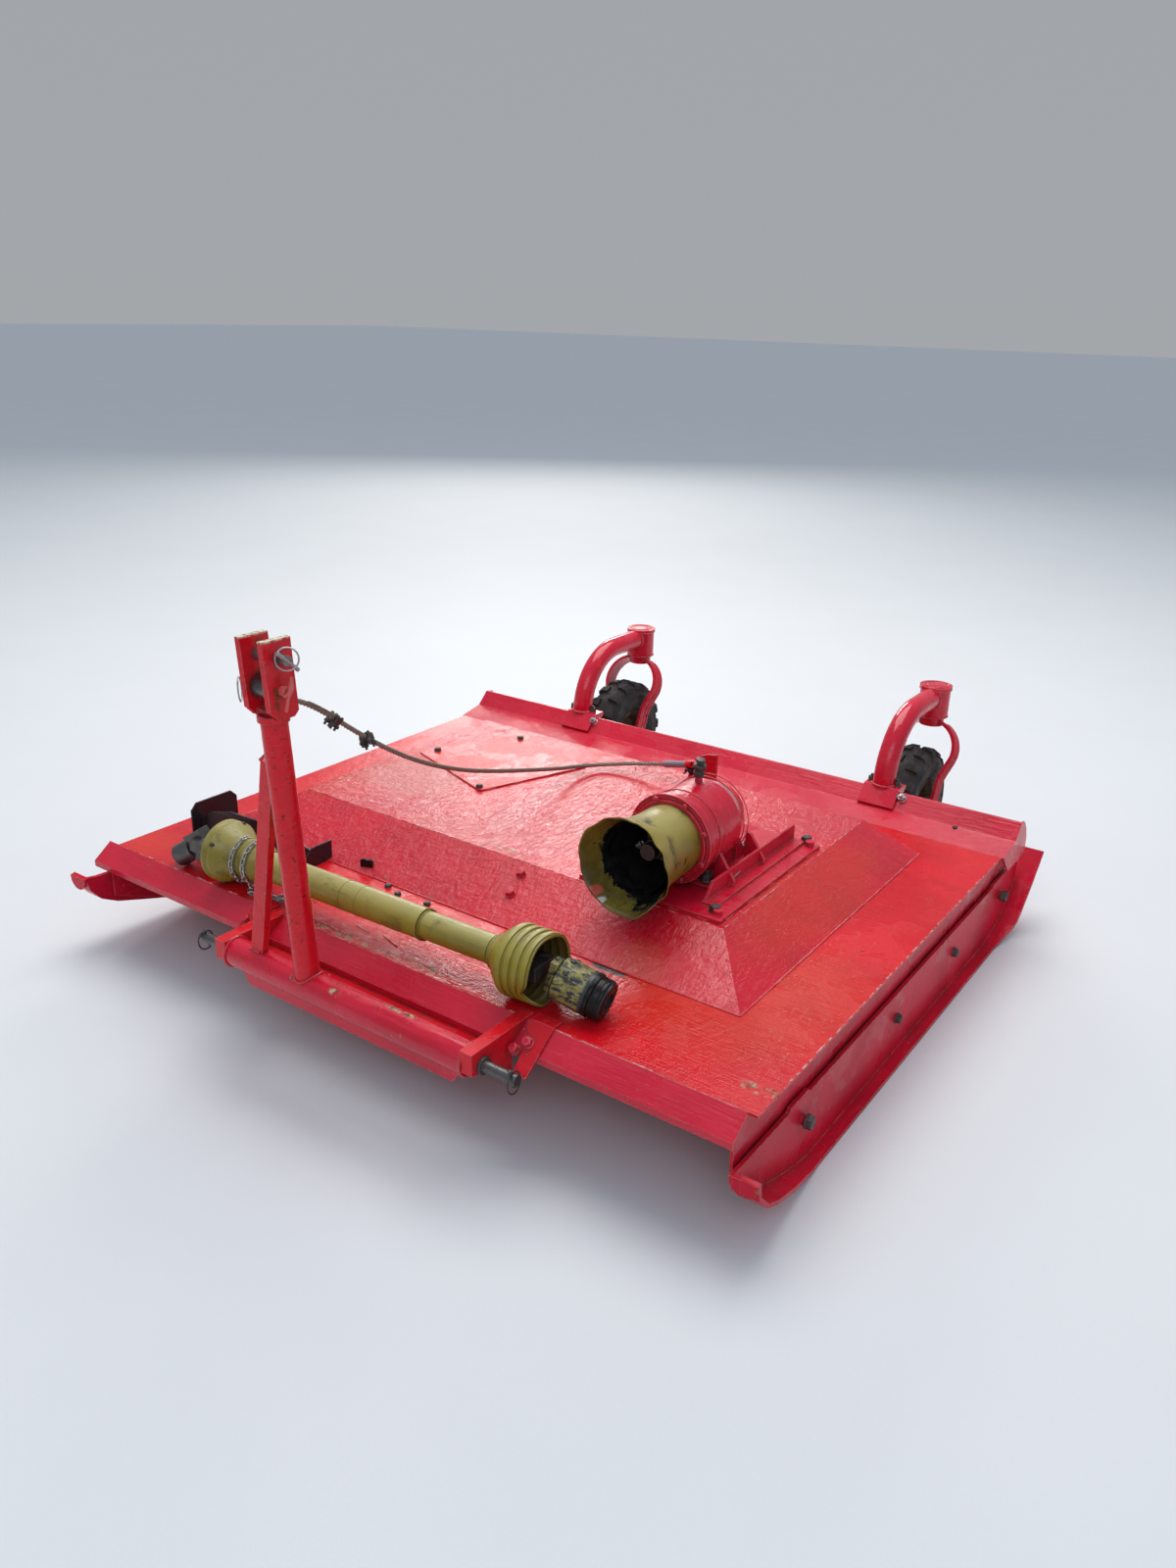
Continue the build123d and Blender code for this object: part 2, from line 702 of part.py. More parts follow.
ear_left = ear_mid_x - EAR_GAP / 2 - EAR_THICK
ear_right = ear_mid_x + EAR_GAP / 2
ear_profile = [
    (ear_high_y - EAR_DEPTH / 2, EAR_TOP),
    (ear_low_y - EAR_DEPTH / 2, EAR_BOTTOM + EAR_CUT_FRONT),
    (ear_low_y - EAR_DEPTH / 2 + EAR_CUT_FRONT, EAR_BOTTOM),
    (ear_low_y + EAR_DEPTH / 2 - EAR_CUT_REAR, EAR_BOTTOM),
    (ear_low_y + EAR_DEPTH / 2, EAR_BOTTOM + EAR_CUT_REAR),
    (ear_high_y + EAR_DEPTH / 2, EAR_TOP),
]
ears = slab_x(ear_profile, ear_left, ear_left + EAR_THICK)
ears += slab_x(ear_profile, ear_right, ear_right + EAR_THICK)
ears += block(
    ear_left,
    ear_right + EAR_THICK,
    ear_low_y - EAR_DEPTH / 2 + EAR_CUT_FRONT,
    ear_low_y + EAR_DEPTH / 2 - EAR_CUT_REAR,
    EAR_BOTTOM,
    EAR_BOTTOM + EAR_BASE,
)
top_pin_y = ear_y(TOP_PIN_Z)
roller_y = ear_y(ROLLER_Z)
eye_half = 7.0
ears += block(
    ear_mid_x - eye_half,
    ear_mid_x + eye_half,
    ear_low_y + EAR_DEPTH / 2 - EAR_CUT_REAR,
    CABLE_EYE_Y,
    EAR_BOTTOM,
    EAR_BOTTOM + 30,
)
top_pin_left = ear_left - TOP_PIN_OVERHANG / 2
top_pin_right = ear_right + EAR_THICK + TOP_PIN_OVERHANG
ears -= rod_x(ear_left - 1, ear_right + EAR_THICK + 1, top_pin_y, TOP_PIN_Z, TOP_PIN_RADIUS)
ears -= rod_x(ear_left - 1, ear_right + EAR_THICK + 1, roller_y, ROLLER_Z, ROLLER_PIN_RADIUS)
parts["top_clevis"] = ears
top_pin = rod_x(top_pin_left, top_pin_right, top_pin_y, TOP_PIN_Z, TOP_PIN_RADIUS)
top_pin += rod_x(top_pin_left - 7, ear_left, top_pin_y, TOP_PIN_Z, TOP_PIN_RADIUS + 5)
parts["top_link_pin"] = top_pin
roller = rod_x(
    ear_mid_x - ROLLER_LENGTH / 2, ear_mid_x + ROLLER_LENGTH / 2, roller_y, ROLLER_Z, ROLLER_RADIUS
)
roller += rod_x(ear_left - 12, ear_right + EAR_THICK + 12, roller_y, ROLLER_Z, ROLLER_PIN_RADIUS)
parts["mast_roller"] = roller

# Lower link pins, with a shoulder against the arm
pin_sides = (("left", ARM_LEFT_OUTER, -1), ("right", ARM_RIGHT_OUTER, 1))
for name, face, side in pin_sides:
    ends = sorted((face, face + side * LOWER_PIN_LENGTH))
    shoulder = sorted((face, face + side * LOWER_PIN_SHOULDER * 0.4))
    pin = rod_x(*ends, TUBE_Y, TUBE_Z, LOWER_PIN_RADIUS)
    pin += rod_x(*shoulder, TUBE_Y, TUBE_Z, LOWER_PIN_SHOULDER)
    parts["lower_pin_" + name] = pin

# Gearbox plate with an angle iron along each side
plate_top = HUMP_TOP + GEAR_PLATE_THICK
plate_left = GEAR_X - GEAR_PLATE_HALF
plate_right = GEAR_X + GEAR_PLATE_HALF
gear_plate = block(
    plate_left, plate_right, GEAR_PLATE_FRONT, GEAR_PLATE_REAR, HUMP_TOP, plate_top
)
angle_height = 40.0
angle_thick = 6.0
angle_front = GEAR_PLATE_FRONT + 42
angle_web = slab_x(
    [
        (angle_front, plate_top),
        (angle_front + 34, plate_top + angle_height),
        (GEAR_PLATE_REAR - 12, plate_top + angle_height),
        (GEAR_PLATE_REAR - 12, plate_top),
    ],
    plate_right - 66,
    plate_right - 66 + angle_thick,
)
angle_foot = block(
    plate_right - 66,
    plate_right - 32,
    angle_front,
    GEAR_PLATE_REAR - 12,
    plate_top,
    plate_top + angle_thick,
)
angle_iron = angle_web + angle_foot
angle_mirror = Plane(origin=(GEAR_X, 0, 0), x_dir=(0, 1, 0), z_dir=(1, 0, 0))
gear_plate += angle_iron
gear_plate += mirror(angle_iron, about=angle_mirror)
for x in (plate_left + 18, plate_right - 18):
    for y in (GEAR_PLATE_FRONT + 24, GEAR_PLATE_REAR - 16):
        gear_plate += rod_z(plate_top, plate_top + 11, x, y, 10.0)
parts["gearbox_plate"] = gear_plate

# Gearbox: bolted flange ring, round body with a domed back, feet and lower neck
flange_back = FLANGE_FACE + FLANGE_THICK
housing = turned_y(
    [
        (0, FLANGE_FACE),
        (FLANGE_RADIUS, FLANGE_FACE),
        (FLANGE_RADIUS, flange_back),
        (FLANGE_RADIUS - 4, flange_back),
        (FLANGE_RADIUS - 4, flange_back + FLANGE_THICK),
        (BODY_RADIUS, flange_back + FLANGE_THICK),
        (BODY_RADIUS, BODY_REAR - 40),
        (BODY_RADIUS - 14, BODY_REAR - 6),
        (DOME_RADIUS, BODY_REAR + 8),
        (DOME_RADIUS, BODY_REAR + DOME_LENGTH),
        (0, BODY_REAR + DOME_LENGTH),
    ],
    GEAR_X,
    GEAR_Z,
)
housing += block(
    GEAR_X - GEAR_FOOT_HALF,
    GEAR_X + GEAR_FOOT_HALF,
    GEAR_FOOT_FRONT,
    GEAR_FOOT_REAR,
    plate_top,
    plate_top + GEAR_FOOT_THICK,
)
gear_mid_y = ROTOR_RIGHT[1]
housing += rod_z(plate_top, GEAR_Z, GEAR_X, gear_mid_y, GEAR_NECK_RADIUS)
for x in (GEAR_X - GEAR_FOOT_HALF + 12, GEAR_X + GEAR_FOOT_HALF - 24):
    housing += slab_x(
        [
            (gear_mid_y + 20, plate_top + 4),
            (gear_mid_y + 20, plate_top + 78),
            (gear_mid_y + 74, plate_top + 4),
        ],
        x,
        x + 12,
    )
for x in (GEAR_X - GEAR_FOOT_HALF + 16, GEAR_X + GEAR_FOOT_HALF - 16):
    for y in (GEAR_FOOT_FRONT + 22, GEAR_FOOT_REAR - 22):
        housing += rod_z(plate_top, plate_top + GEAR_FOOT_THICK + 13, x, y, 11.0)
flange_bolts = 8
for i in range(flange_bolts):
    turn = math.radians(22.5 + 360 / flange_bolts * i)
    bolt_x = GEAR_X + (FLANGE_RADIUS - 11) * math.cos(turn)
    bolt_z = GEAR_Z + (FLANGE_RADIUS - 11) * math.sin(turn)
    housing += rod_y(FLANGE_FACE - 5, FLANGE_FACE, bolt_x, bolt_z, 6.5)
breather_y = BODY_REAR - 62
housing += rod_z(GEAR_Z + BODY_RADIUS - 4, GEAR_Z + BODY_RADIUS + 16, GEAR_X - 6, breather_y, 8.0)
housing += rod_z(GEAR_Z + BODY_RADIUS + 16, GEAR_Z + BODY_RADIUS + 28, GEAR_X - 6, breather_y, 10.0)
input_bore_end = FLANGE_FACE + 42
seat_bore = INPUT_SEAT_RADIUS + RUNNING_GAP
housing -= rod_y(FLANGE_FACE - 10, input_bore_end, GEAR_X, GEAR_Z, seat_bore)
parts["gearbox_housing"] = housing

# Bell guard round the input shaft
inner_mouth = GUARD_MOUTH_RADIUS - GUARD_THICK
inner_neck = GUARD_NECK_RADIUS - GUARD_THICK
guard_back = FLANGE_FACE
parts["gearbox_guard"] = turned_y(
    [
        (GUARD_MOUTH_RADIUS, GUARD_MOUTH_Y),
        (GUARD_NECK_RADIUS, GUARD_NECK_Y),
        (GUARD_NECK_RADIUS, guard_back),
        (44, guard_back),
        (44, guard_back - 5),
        (inner_neck, guard_back - 5),
        (inner_neck, GUARD_NECK_Y),
        (inner_mouth, GUARD_MOUTH_Y),
    ],
    GEAR_X,
    GEAR_Z,
)
input_shoulder = guard_back - 8
parts["input_shaft"] = rod_y(INPUT_END, input_shoulder, GEAR_X, GEAR_Z, INPUT_RADIUS) + rod_y(
    input_shoulder, input_bore_end - 1, GEAR_X, GEAR_Z, INPUT_SEAT_RADIUS
)

# Cover plate over the left drive, turned on the hump
cover = Pos(COVER_X, COVER_Y, HUMP_TOP + COVER_THICK / 2) * Rot(0, 0, COVER_TURN) * Box(
    COVER_SIDE, COVER_SIDE, COVER_THICK
)
parts["drive_cover"] = cover

# Floor under the hump with two bearing housings, and the rotors that hang in them
for x, y in (ROTOR_LEFT, ROTOR_RIGHT):
    floor = deck_under - CASE_FLOOR_THICK
    case_floor += rod_z(floor - BEARING_FLANGE_THICK, floor, x, y, BEARING_FLANGE_RADIUS)
    case_floor += rod_z(BEARING_BOTTOM, floor, x, y, BEARING_RADIUS)
    case_floor -= rod_z(BEARING_BOTTOM - 1, floor - 12, x, y, ROTOR_SHAFT_RADIUS + RUNNING_GAP)
parts["drive_case_floor"] = case_floor


def rotor(centre, turn):
    x, y = centre
    floor = deck_under - CASE_FLOOR_THICK
    piece = rod_z(BAR_TOP, floor - 13, 0, 0, ROTOR_SHAFT_RADIUS)
    piece += rod_z(BAR_TOP, BAR_TOP + ROTOR_HUB_HEIGHT, 0, 0, ROTOR_HUB_RADIUS)
    piece += rod_z(BAR_TOP, BAR_TOP + ROTOR_PAN_THICK, 0, 0, ROTOR_PAN_RADIUS)
    reach = BLADE_PIVOT + 36
    piece += block(-reach, reach, -BAR_WIDTH / 2, BAR_WIDTH / 2, BAR_TOP - BAR_THICK, BAR_TOP)
    blade_low = BAR_TOP - BAR_THICK - BLADE_GAP - BLADE_THICK
    for end in (-BLADE_PIVOT, BLADE_PIVOT):
        piece += rod_z(blade_low - BLADE_GAP, BAR_TOP, end, 0, BLADE_PIN_RADIUS)
        piece += rod_z(blade_low - BLADE_GAP - 8, blade_low - BLADE_GAP, end, 0, BLADE_PIN_RADIUS + 8)
    return Pos(x, y, 0) * Rot(0, 0, turn) * piece


def blade(centre, turn):
    x, y = centre
    low = BAR_TOP - BAR_THICK - BLADE_GAP - BLADE_THICK
    outline = [
        (BLADE_PIVOT - 26, -BLADE_WIDTH / 2),
        (ROTOR_REACH - 14, -BLADE_WIDTH / 2),
        (ROTOR_REACH - 2, -BLADE_WIDTH / 2 + 14),
        (ROTOR_REACH - 2, BLADE_WIDTH / 2),
        (BLADE_PIVOT - 26, BLADE_WIDTH / 2),
    ]
    piece = slab_z(outline, low, low + BLADE_THICK)
    piece -= rod_z(low - 1, low + BLADE_THICK + 1, BLADE_PIVOT, 0, BLADE_PIN_RADIUS + RUNNING_GAP)
    return Pos(x, y, 0) * Rot(0, 0, turn) * piece


rotor_table = (
    # name, centre, turn of the bar at rest
    ("left", ROTOR_LEFT, 62.0),
    ("right", ROTOR_RIGHT, -28.0),
)
for name, centre, turn in rotor_table:
    parts["rotor_" + name] = rotor(centre, turn)
    parts["blade_" + name + "_a"] = blade(centre, turn)
    parts["blade_" + name + "_b"] = blade(centre, turn + 180)

# Castors: clamp on the rear rail, curved arm, head, fork, axle, rim and tyre
wheel_y = CASTOR_Y - WHEEL_TRAIL


def castor_arm(x, clamp_x):
    foot_z = rear_top[1] + 4
    centreline = FilletPolyline(
        (x, ARM_TUBE_FOOT_Y, foot_z),
        (x, ARM_TUBE_FOOT_Y, ARM_TUBE_Z),
        (x, CASTOR_Y, ARM_TUBE_Z),
        radius=ARM_TUBE_BEND,
    )
    start = Plane(origin=centreline @ 0, z_dir=centreline % 0)
    tube = sweep(start * Circle(ARM_TUBE_RADIUS), path=centreline)
    head = rod_z(HEAD_BOTTOM, HEAD_TOP - HEAD_CAP_HEIGHT, x, CASTOR_Y, HEAD_RADIUS)
    head += rod_z(HEAD_TOP - HEAD_CAP_HEIGHT, HEAD_TOP, x, CASTOR_Y, HEAD_CAP_RADIUS)
    facet = math.hypot(REAR_TOP_RUN, REAR_TOP_RISE)
    along = (REAR_TOP_RUN / facet, REAR_TOP_RISE / facet)
    out = (-along[1] * CLAMP_THICK, along[0] * CLAMP_THICK)
    half = CLAMP_WIDTH / 2
    low = rear_bend
    back = skirt_y + CLAMP_THICK
    clamp = slab_x(
        [
            low,
            (low[0] + out[0], low[1] + out[1]),
            (rear_top[0] + out[0], rear_top[1] + CLAMP_THICK),
            (back + CLAMP_WINGS, rear_top[1] + CLAMP_THICK),
            (back + CLAMP_WINGS, rear_top[1]),
            (back, rear_top[1] - 20),
            (back, rear_top[1] - CLAMP_BACK_DROP),
            (skirt_y, rear_top[1] - CLAMP_BACK_DROP),
            (skirt_y, rear_top[1]),
            rear_top,
        ],
        clamp_x - half,
        clamp_x + half,
    )
    stem_bore = rod_z(
        HEAD_BOTTOM - 1, HEAD_TOP - STEM_TOP_GAP, x, CASTOR_Y, STEM_RADIUS + RUNNING_GAP
    )
    return tube + head + clamp - stem_bore


def castor_fork(x):
    # the hoop: a flat bar bent over the tyre, standing square to the rolling direction
    centre = [
        (-FORK_LEG, FORK_FOOT_Z),
        (-FORK_LEG, FORK_LEG_Z),
        (-FORK_BULGE, FORK_BULGE_Z),
        (-FORK_BULGE, FORK_CROWN_Z),
        (FORK_BULGE, FORK_CROWN_Z),
        (FORK_BULGE, FORK_BULGE_Z),
        (FORK_LEG, FORK_LEG_Z),
        (FORK_LEG, FORK_FOOT_Z),
    ]
    line = FilletPolyline(*[(px, 0, pz) for px, pz in centre], radius=[60, 50, FORK_BEND, FORK_BEND, 50, 60])
    start = Plane(origin=line @ 0, x_dir=(0, 1, 0), z_dir=line % 0)
    hoop = sweep(start * Rectangle(FORK_BAR_DEPTH, FORK_BAR_THICK), path=line)
    # the hoop leans from the head forward to the axle
    lean = math.degrees(math.atan2(WHEEL_TRAIL, FORK_CROWN_Z - TYRE_RADIUS))
    hoop = Pos(x, CASTOR_Y, FORK_CROWN_Z) * Rot(-lean, 0, 0) * Pos(0, 0, -FORK_CROWN_Z) * hoop
    collar_low = FORK_CROWN_Z - FORK_BAR_THICK
    stem = rod_z(collar_low, HEAD_TOP - STEM_TOP_GAP - 1, x, CASTOR_Y, STEM_RADIUS)
    collar = rod_z(collar_low, HEAD_BOTTOM - 1, x, CASTOR_Y, STEM_COLLAR_RADIUS)
    return hoop + stem + collar


def tyre_profile():
    half = TYRE_WIDTH / 2
    crown = TYRE_RADIUS - TYRE_LUG
    return [
        (-half + 12, RIM_RADIUS),
        (-half, RIM_RADIUS + 18),
        (-half, crown - 30),
        (-half + 14, crown - 8),
        (-half + 34, crown),
        (half - 34, crown),
        (half - 14, crown - 8),
        (half, crown - 30),
        (half, RIM_RADIUS + 18),
        (half - 12, RIM_RADIUS),
    ]


def tyre(x):
    carcass = turned_x(tyre_profile())
    crown = TYRE_RADIUS - TYRE_LUG
    lugs = []
    for i in range(TYRE_LUGS):
        for row, shift in ((-1, 0.0), (1, 0.5)):
            turn = 360 / TYRE_LUGS * (i + shift)
            lug = Pos(row * TYRE_WIDTH * 0.27, 0, crown - 3) * Box(34, 26, 2 * TYRE_LUG + 6)
            lugs.append(Rot(turn, 0, 0) * lug)
    lug_ring = turned_x(
        [
            (-TYRE_WIDTH / 2 + 4, crown - 24),
            (-TYRE_WIDTH / 2 + 10, TYRE_RADIUS - 8),
            (-TYRE_WIDTH / 2 + 26, TYRE_RADIUS),
            (TYRE_WIDTH / 2 - 26, TYRE_RADIUS),
            (TYRE_WIDTH / 2 - 10, TYRE_RADIUS - 8),
            (TYRE_WIDTH / 2 - 4, crown - 24),
        ]
    )
    blocks = Compound(lugs) & lug_ring
    return Pos(x, wheel_y, TYRE_RADIUS) * (carcass + blocks.solids())


def rim(x):
    half = RIM_WIDTH / 2
    piece = turned_x(
        [
            (-half, RIM_RADIUS - 14),
            (-half, RIM_RADIUS),
            (half, RIM_RADIUS),
            (half, RIM_RADIUS - 14),
            (half - 18, RIM_RADIUS - 22),
            (6, RIM_RADIUS - 26),
            (6, WHEEL_HUB_RADIUS),
            (WHEEL_HUB_LENGTH / 2, WHEEL_HUB_RADIUS),
            (WHEEL_HUB_LENGTH / 2, AXLE_RADIUS + RUNNING_GAP),
            (-WHEEL_HUB_LENGTH / 2, AXLE_RADIUS + RUNNING_GAP),
            (-WHEEL_HUB_LENGTH / 2, WHEEL_HUB_RADIUS),
            (-6, WHEEL_HUB_RADIUS),
            (-6, RIM_RADIUS - 26),
            (-half + 18, RIM_RADIUS - 22),
        ]
    )
    return Pos(x, wheel_y, TYRE_RADIUS) * piece


def axle(x):
    reach = FORK_LEG + FORK_BAR_THICK / 2
    piece = rod_x(x - reach - 14, x + reach + 14, wheel_y, TYRE_RADIUS, AXLE_RADIUS)
    piece += rod_x(x - reach - 12, x - reach, wheel_y, TYRE_RADIUS, 16.0)
    piece += rod_x(x + reach, x + reach + 12, wheel_y, TYRE_RADIUS, 16.0)
    return piece


castor_table = (
    # name, middle of the castor, middle of its clamp
    ("left", -CASTOR_X, 12 - CASTOR_X),
    ("right", CASTOR_X, 3 + CASTOR_X),
)
for name, x, clamp_x in castor_table:
    parts["castor_arm_" + name] = castor_arm(x, clamp_x)
    fork_bore = rod_x(x - 200, x + 200, wheel_y, TYRE_RADIUS, AXLE_RADIUS)
    parts["castor_fork_" + name] = castor_fork(x) - fork_bore
    parts["castor_axle_" + name] = axle(x)
    parts["castor_rim_" + name] = rim(x)
    parts["castor_tyre_" + name] = tyre(x)

# Drive shaft on the deck: built along X from its left end, then laid in place
shaft_left_z = DECK_TOP + CONE_RADIUS + SEAT_GAP
shaft_right_z = DECK_TOP + BELL_RADIUS + SEAT_GAP
bell_mid = (BELL_START + BELL_END) / 2
cone_mid = CONE_START + CONE_RIDGE
shaft_rise = math.atan2(shaft_right_z - shaft_left_z, bell_mid - cone_mid)
shaft_yaw = math.atan2(SHAFT_RIGHT_Y - SHAFT_LEFT_Y, SHAFT_RIGHT - SHAFT_LEFT)
shaft_base_z = shaft_left_z - cone_mid * math.tan(shaft_rise)
shaft_place = (
    Pos(SHAFT_LEFT, SHAFT_LEFT_Y, shaft_base_z)
    * Rot(0, 0, math.degrees(shaft_yaw))
    * Rot(0, -math.degrees(shaft_rise), 0)
)


def droop(reach, radius, height):
    # how far a joint's free end hangs until its rim rests on the deck, in degrees
    rim_angle = math.atan2(radius, reach)
    return math.degrees(math.asin(height / math.hypot(reach, radius)) - rim_angle)


# the left joint: a fork on the shaft, and the end yoke hanging to the deck
yoke_fork = rod_x(YOKE_JOINT + 30, NECK_END - 60, 0, 0, YOKE_STUB_RADIUS)
yoke_fork += block(YOKE_JOINT - 14, YOKE_JOINT + 36, -YOKE_EAR, YOKE_EAR, -14, 14)
end_yoke = block(-YOKE_HUB_START - 4, 14, -16, 16, -YOKE_EAR, YOKE_EAR)
end_yoke += rod_x(-YOKE_HUB_END, -YOKE_HUB_START, 0, 0, YOKE_RADIUS)
end_yoke -= rod_x(-YOKE_HUB_END - 1, -YOKE_HUB_START, 0, 0, SOCKET_RADIUS)
yoke_droop = droop(YOKE_HUB_END, YOKE_RADIUS, CONE_RADIUS)
yoke_turn = Pos(YOKE_JOINT, 0, 0) * Rot(0, 0, -YOKE_YAW) * Rot(0, -yoke_droop, 0)
parts["shaft_yoke_left"] = shaft_place * (yoke_fork + yoke_turn * end_yoke)
cone_end = CONE_START + CONE_LENGTH
ridge_far = CONE_START + CONE_RIDGE
ridge_near = ridge_far + CONE_RIDGE_PITCH
cone_outer = [
    (CONE_START, CONE_RADIUS - 5),
    (ridge_far - 3, CONE_RADIUS),
    (ridge_far + 3, CONE_RADIUS),
    (ridge_far + CONE_RIDGE_PITCH / 2, CONE_RADIUS - 4),
    (ridge_near - 3, CONE_RADIUS),
    (ridge_near + 3, CONE_RADIUS),
    (cone_end, NECK_RADIUS),
]
for i in range(NECK_RIDGES):
    ridge_x = cone_end + NECK_RIDGE_PITCH * i
    cone_outer.append((ridge_x + 5, NECK_RADIUS))
    cone_outer.append((ridge_x + 7, NECK_RADIUS - NECK_GROOVE))
    cone_outer.append((ridge_x + NECK_RIDGE_PITCH - 2, NECK_RADIUS - NECK_GROOVE))
    cone_outer.append((ridge_x + NECK_RIDGE_PITCH, NECK_RADIUS))
cone_outer.append((NECK_END, OUTER_TUBE_RADIUS + GUARD_SHELL))
cone_inner = [
    (NECK_END, OUTER_TUBE_RADIUS + SEAT_GAP),
    (NECK_END - 8, OUTER_TUBE_RADIUS + SEAT_GAP),
    (cone_end, NECK_RADIUS - NECK_GROOVE - GUARD_SHELL),
    (ridge_near, CONE_RADIUS - 4 - GUARD_SHELL),
    (CONE_START, CONE_RADIUS - 5 - GUARD_SHELL),
]
parts["shaft_cone_guard"] = shaft_place * turned_x(cone_outer + cone_inner)
parts["shaft_tube_outer"] = shaft_place * (
    rod_x(NECK_END - 60, TUBE_STEP, 0, 0, OUTER_TUBE_RADIUS)
    - rod_x(NECK_END - 61, TUBE_STEP + 1, 0, 0, INNER_TUBE_RADIUS)
)
parts["shaft_tube_inner"] = shaft_place * (
    rod_x(NECK_END - 60, BELL_START + 24, 0, 0, INNER_TUBE_RADIUS - 0.3)
    - rod_x(BELL_START - 40, BELL_START + 25, 0, 0, 20.0)
)
bell_outer = [
    (BELL_START, INNER_TUBE_RADIUS + GUARD_SHELL + SEAT_GAP),
    (BELL_START + BELL_NOSE * 0.3, BELL_RADIUS - 22),
    (BELL_START + BELL_NOSE * 0.75, BELL_RADIUS - 9),
]
for i in range(BELL_RIBS):
    rib_x = BELL_SHOULDER + BELL_RIB_PITCH * i
    bell_outer.append((rib_x, BELL_RADIUS - BELL_GROOVE))
    bell_outer.append((rib_x + BELL_RIB_PITCH * 0.35, BELL_RADIUS))
    bell_outer.append((rib_x + BELL_RIB_PITCH * 0.65, BELL_RADIUS))
bell_outer.append((BELL_END, BELL_RADIUS - BELL_GROOVE))
bell_inner = [
    (BELL_END, BELL_RADIUS - BELL_GROOVE - GUARD_SHELL),
    (BELL_SHOULDER + 4, BELL_RADIUS - BELL_GROOVE - GUARD_SHELL),
    (BELL_START + 14, BELL_RADIUS - 26),
    (BELL_START + 6, INNER_TUBE_RADIUS + SEAT_GAP),
    (BELL_START, INNER_TUBE_RADIUS + SEAT_GAP),
]
parts["shaft_bell_guard"] = shaft_place * turned_x(bell_outer + bell_inner)

# the right joint: a fork inside the bell, and the clutch hanging to the deck
yoke_right = rod_x(BELL_START - 38, CLUTCH_JOINT - 30, 0, 0, 19.5)
yoke_right += block(CLUTCH_JOINT - 36, CLUTCH_JOINT + 14, -YOKE_EAR, YOKE_EAR, -14, 14)
parts["shaft_yoke_right"] = shaft_place * yoke_right
clutch = turned_x(
    [
        (CLUTCH_START, 0),
        (CLUTCH_START, CLUTCH_RADIUS - 8),
        (CLUTCH_START + 8, CLUTCH_RADIUS),
        (CLUTCH_END - 12, CLUTCH_RADIUS),
        (CLUTCH_END - 12, CLUTCH_RADIUS - 4),
        (CLUTCH_END, COLLAR_RADIUS),
        (COLLAR_END, COLLAR_RADIUS),
        (COLLAR_END, 0),
    ]
)
clutch += block(24, CLUTCH_START + 4, -14, 14, -YOKE_EAR, YOKE_EAR)
clutch -= rod_x(SOCKET_START, COLLAR_END + 1, 0, 0, SOCKET_RADIUS)
clutch_droop = droop(COLLAR_END, COLLAR_RADIUS, BELL_RADIUS)
clutch_turn = Pos(CLUTCH_JOINT, 0, 0) * Rot(0, 0, CLUTCH_YAW) * Rot(0, clutch_droop, 0)
parts["shaft_clutch"] = shaft_place * clutch_turn * clutch


def link_outline(long, wide, corner):
    # a long octagon round the middle of the link
    x = long / 2
    y = wide / 2
    upper = [(x, y - corner), (x - corner, y), (corner - x, y), (-x, y - corner)]
    return make_face(Polyline(*upper, *[(-px, -py) for px, py in upper], close=True))


def link_turned(start, end, turn):
    # one chain link from start to end, turned about that line
    way = Vector(*end) - Vector(*start)
    side = Vector(0, 0, 1).cross(way)
    if side.length < 1e-6 * way.length:
        side = Vector(1, 0, 0)
    spot = Plane(origin=(Vector(*start) + Vector(*end)) * 0.5, x_dir=way, z_dir=way.cross(side))
    ring = link_outline(CHAIN_LINK_LENGTH, CHAIN_LINK_WIDTH, CHAIN_LINK_CORNER)
    ring -= link_outline(
        CHAIN_LINK_LENGTH - 2 * CHAIN_WIRE,
        CHAIN_LINK_WIDTH - 2 * CHAIN_WIRE,
        CHAIN_LINK_CORNER / 2,
    )
    return spot * Rot(turn, 0, 0) * Pos(0, 0, -CHAIN_WIRE / 2) * extrude(ring, CHAIN_WIRE)


# the chain: two turns over the cone guard's neck, and its loose end heaped on the deck
chain_low = DECK_TOP + CHAIN_LINK_WIDTH / 2
chain_line = []
for turn_x in CHAIN_TURNS:
    hoop = []
    for angle in range(90, 271, 15):
        spot = shaft_place * Pos(
            turn_x,
            CHAIN_TURN_RADIUS * math.cos(math.radians(angle)),
            CHAIN_TURN_RADIUS * math.sin(math.radians(angle)),
        )
        hoop.append(spot.position)
    chain_line.append([(p.X, p.Y, max(p.Z, chain_low)) for p in hoop])
heap = [(x, y, chain_low) for x, y in CHAIN_HEAP]
chain_line[0] += heap
chain_line[1] += heap[1:3]
chain_pitch = CHAIN_LINK_LENGTH - 2 * CHAIN_WIRE + CHAIN_OVERLAP
chain = None
for points in chain_line:
    route = Polyline(*points)
    count = int(route.length / chain_pitch)
    for i in range(count):
        start = route @ (i * chain_pitch / route.length)
        end = route @ ((i + 1) * chain_pitch / route.length)
        link = link_turned(start, end, 90 * (i % 2))
        chain = link if chain is None else chain + link
parts["shaft_chain"] = chain

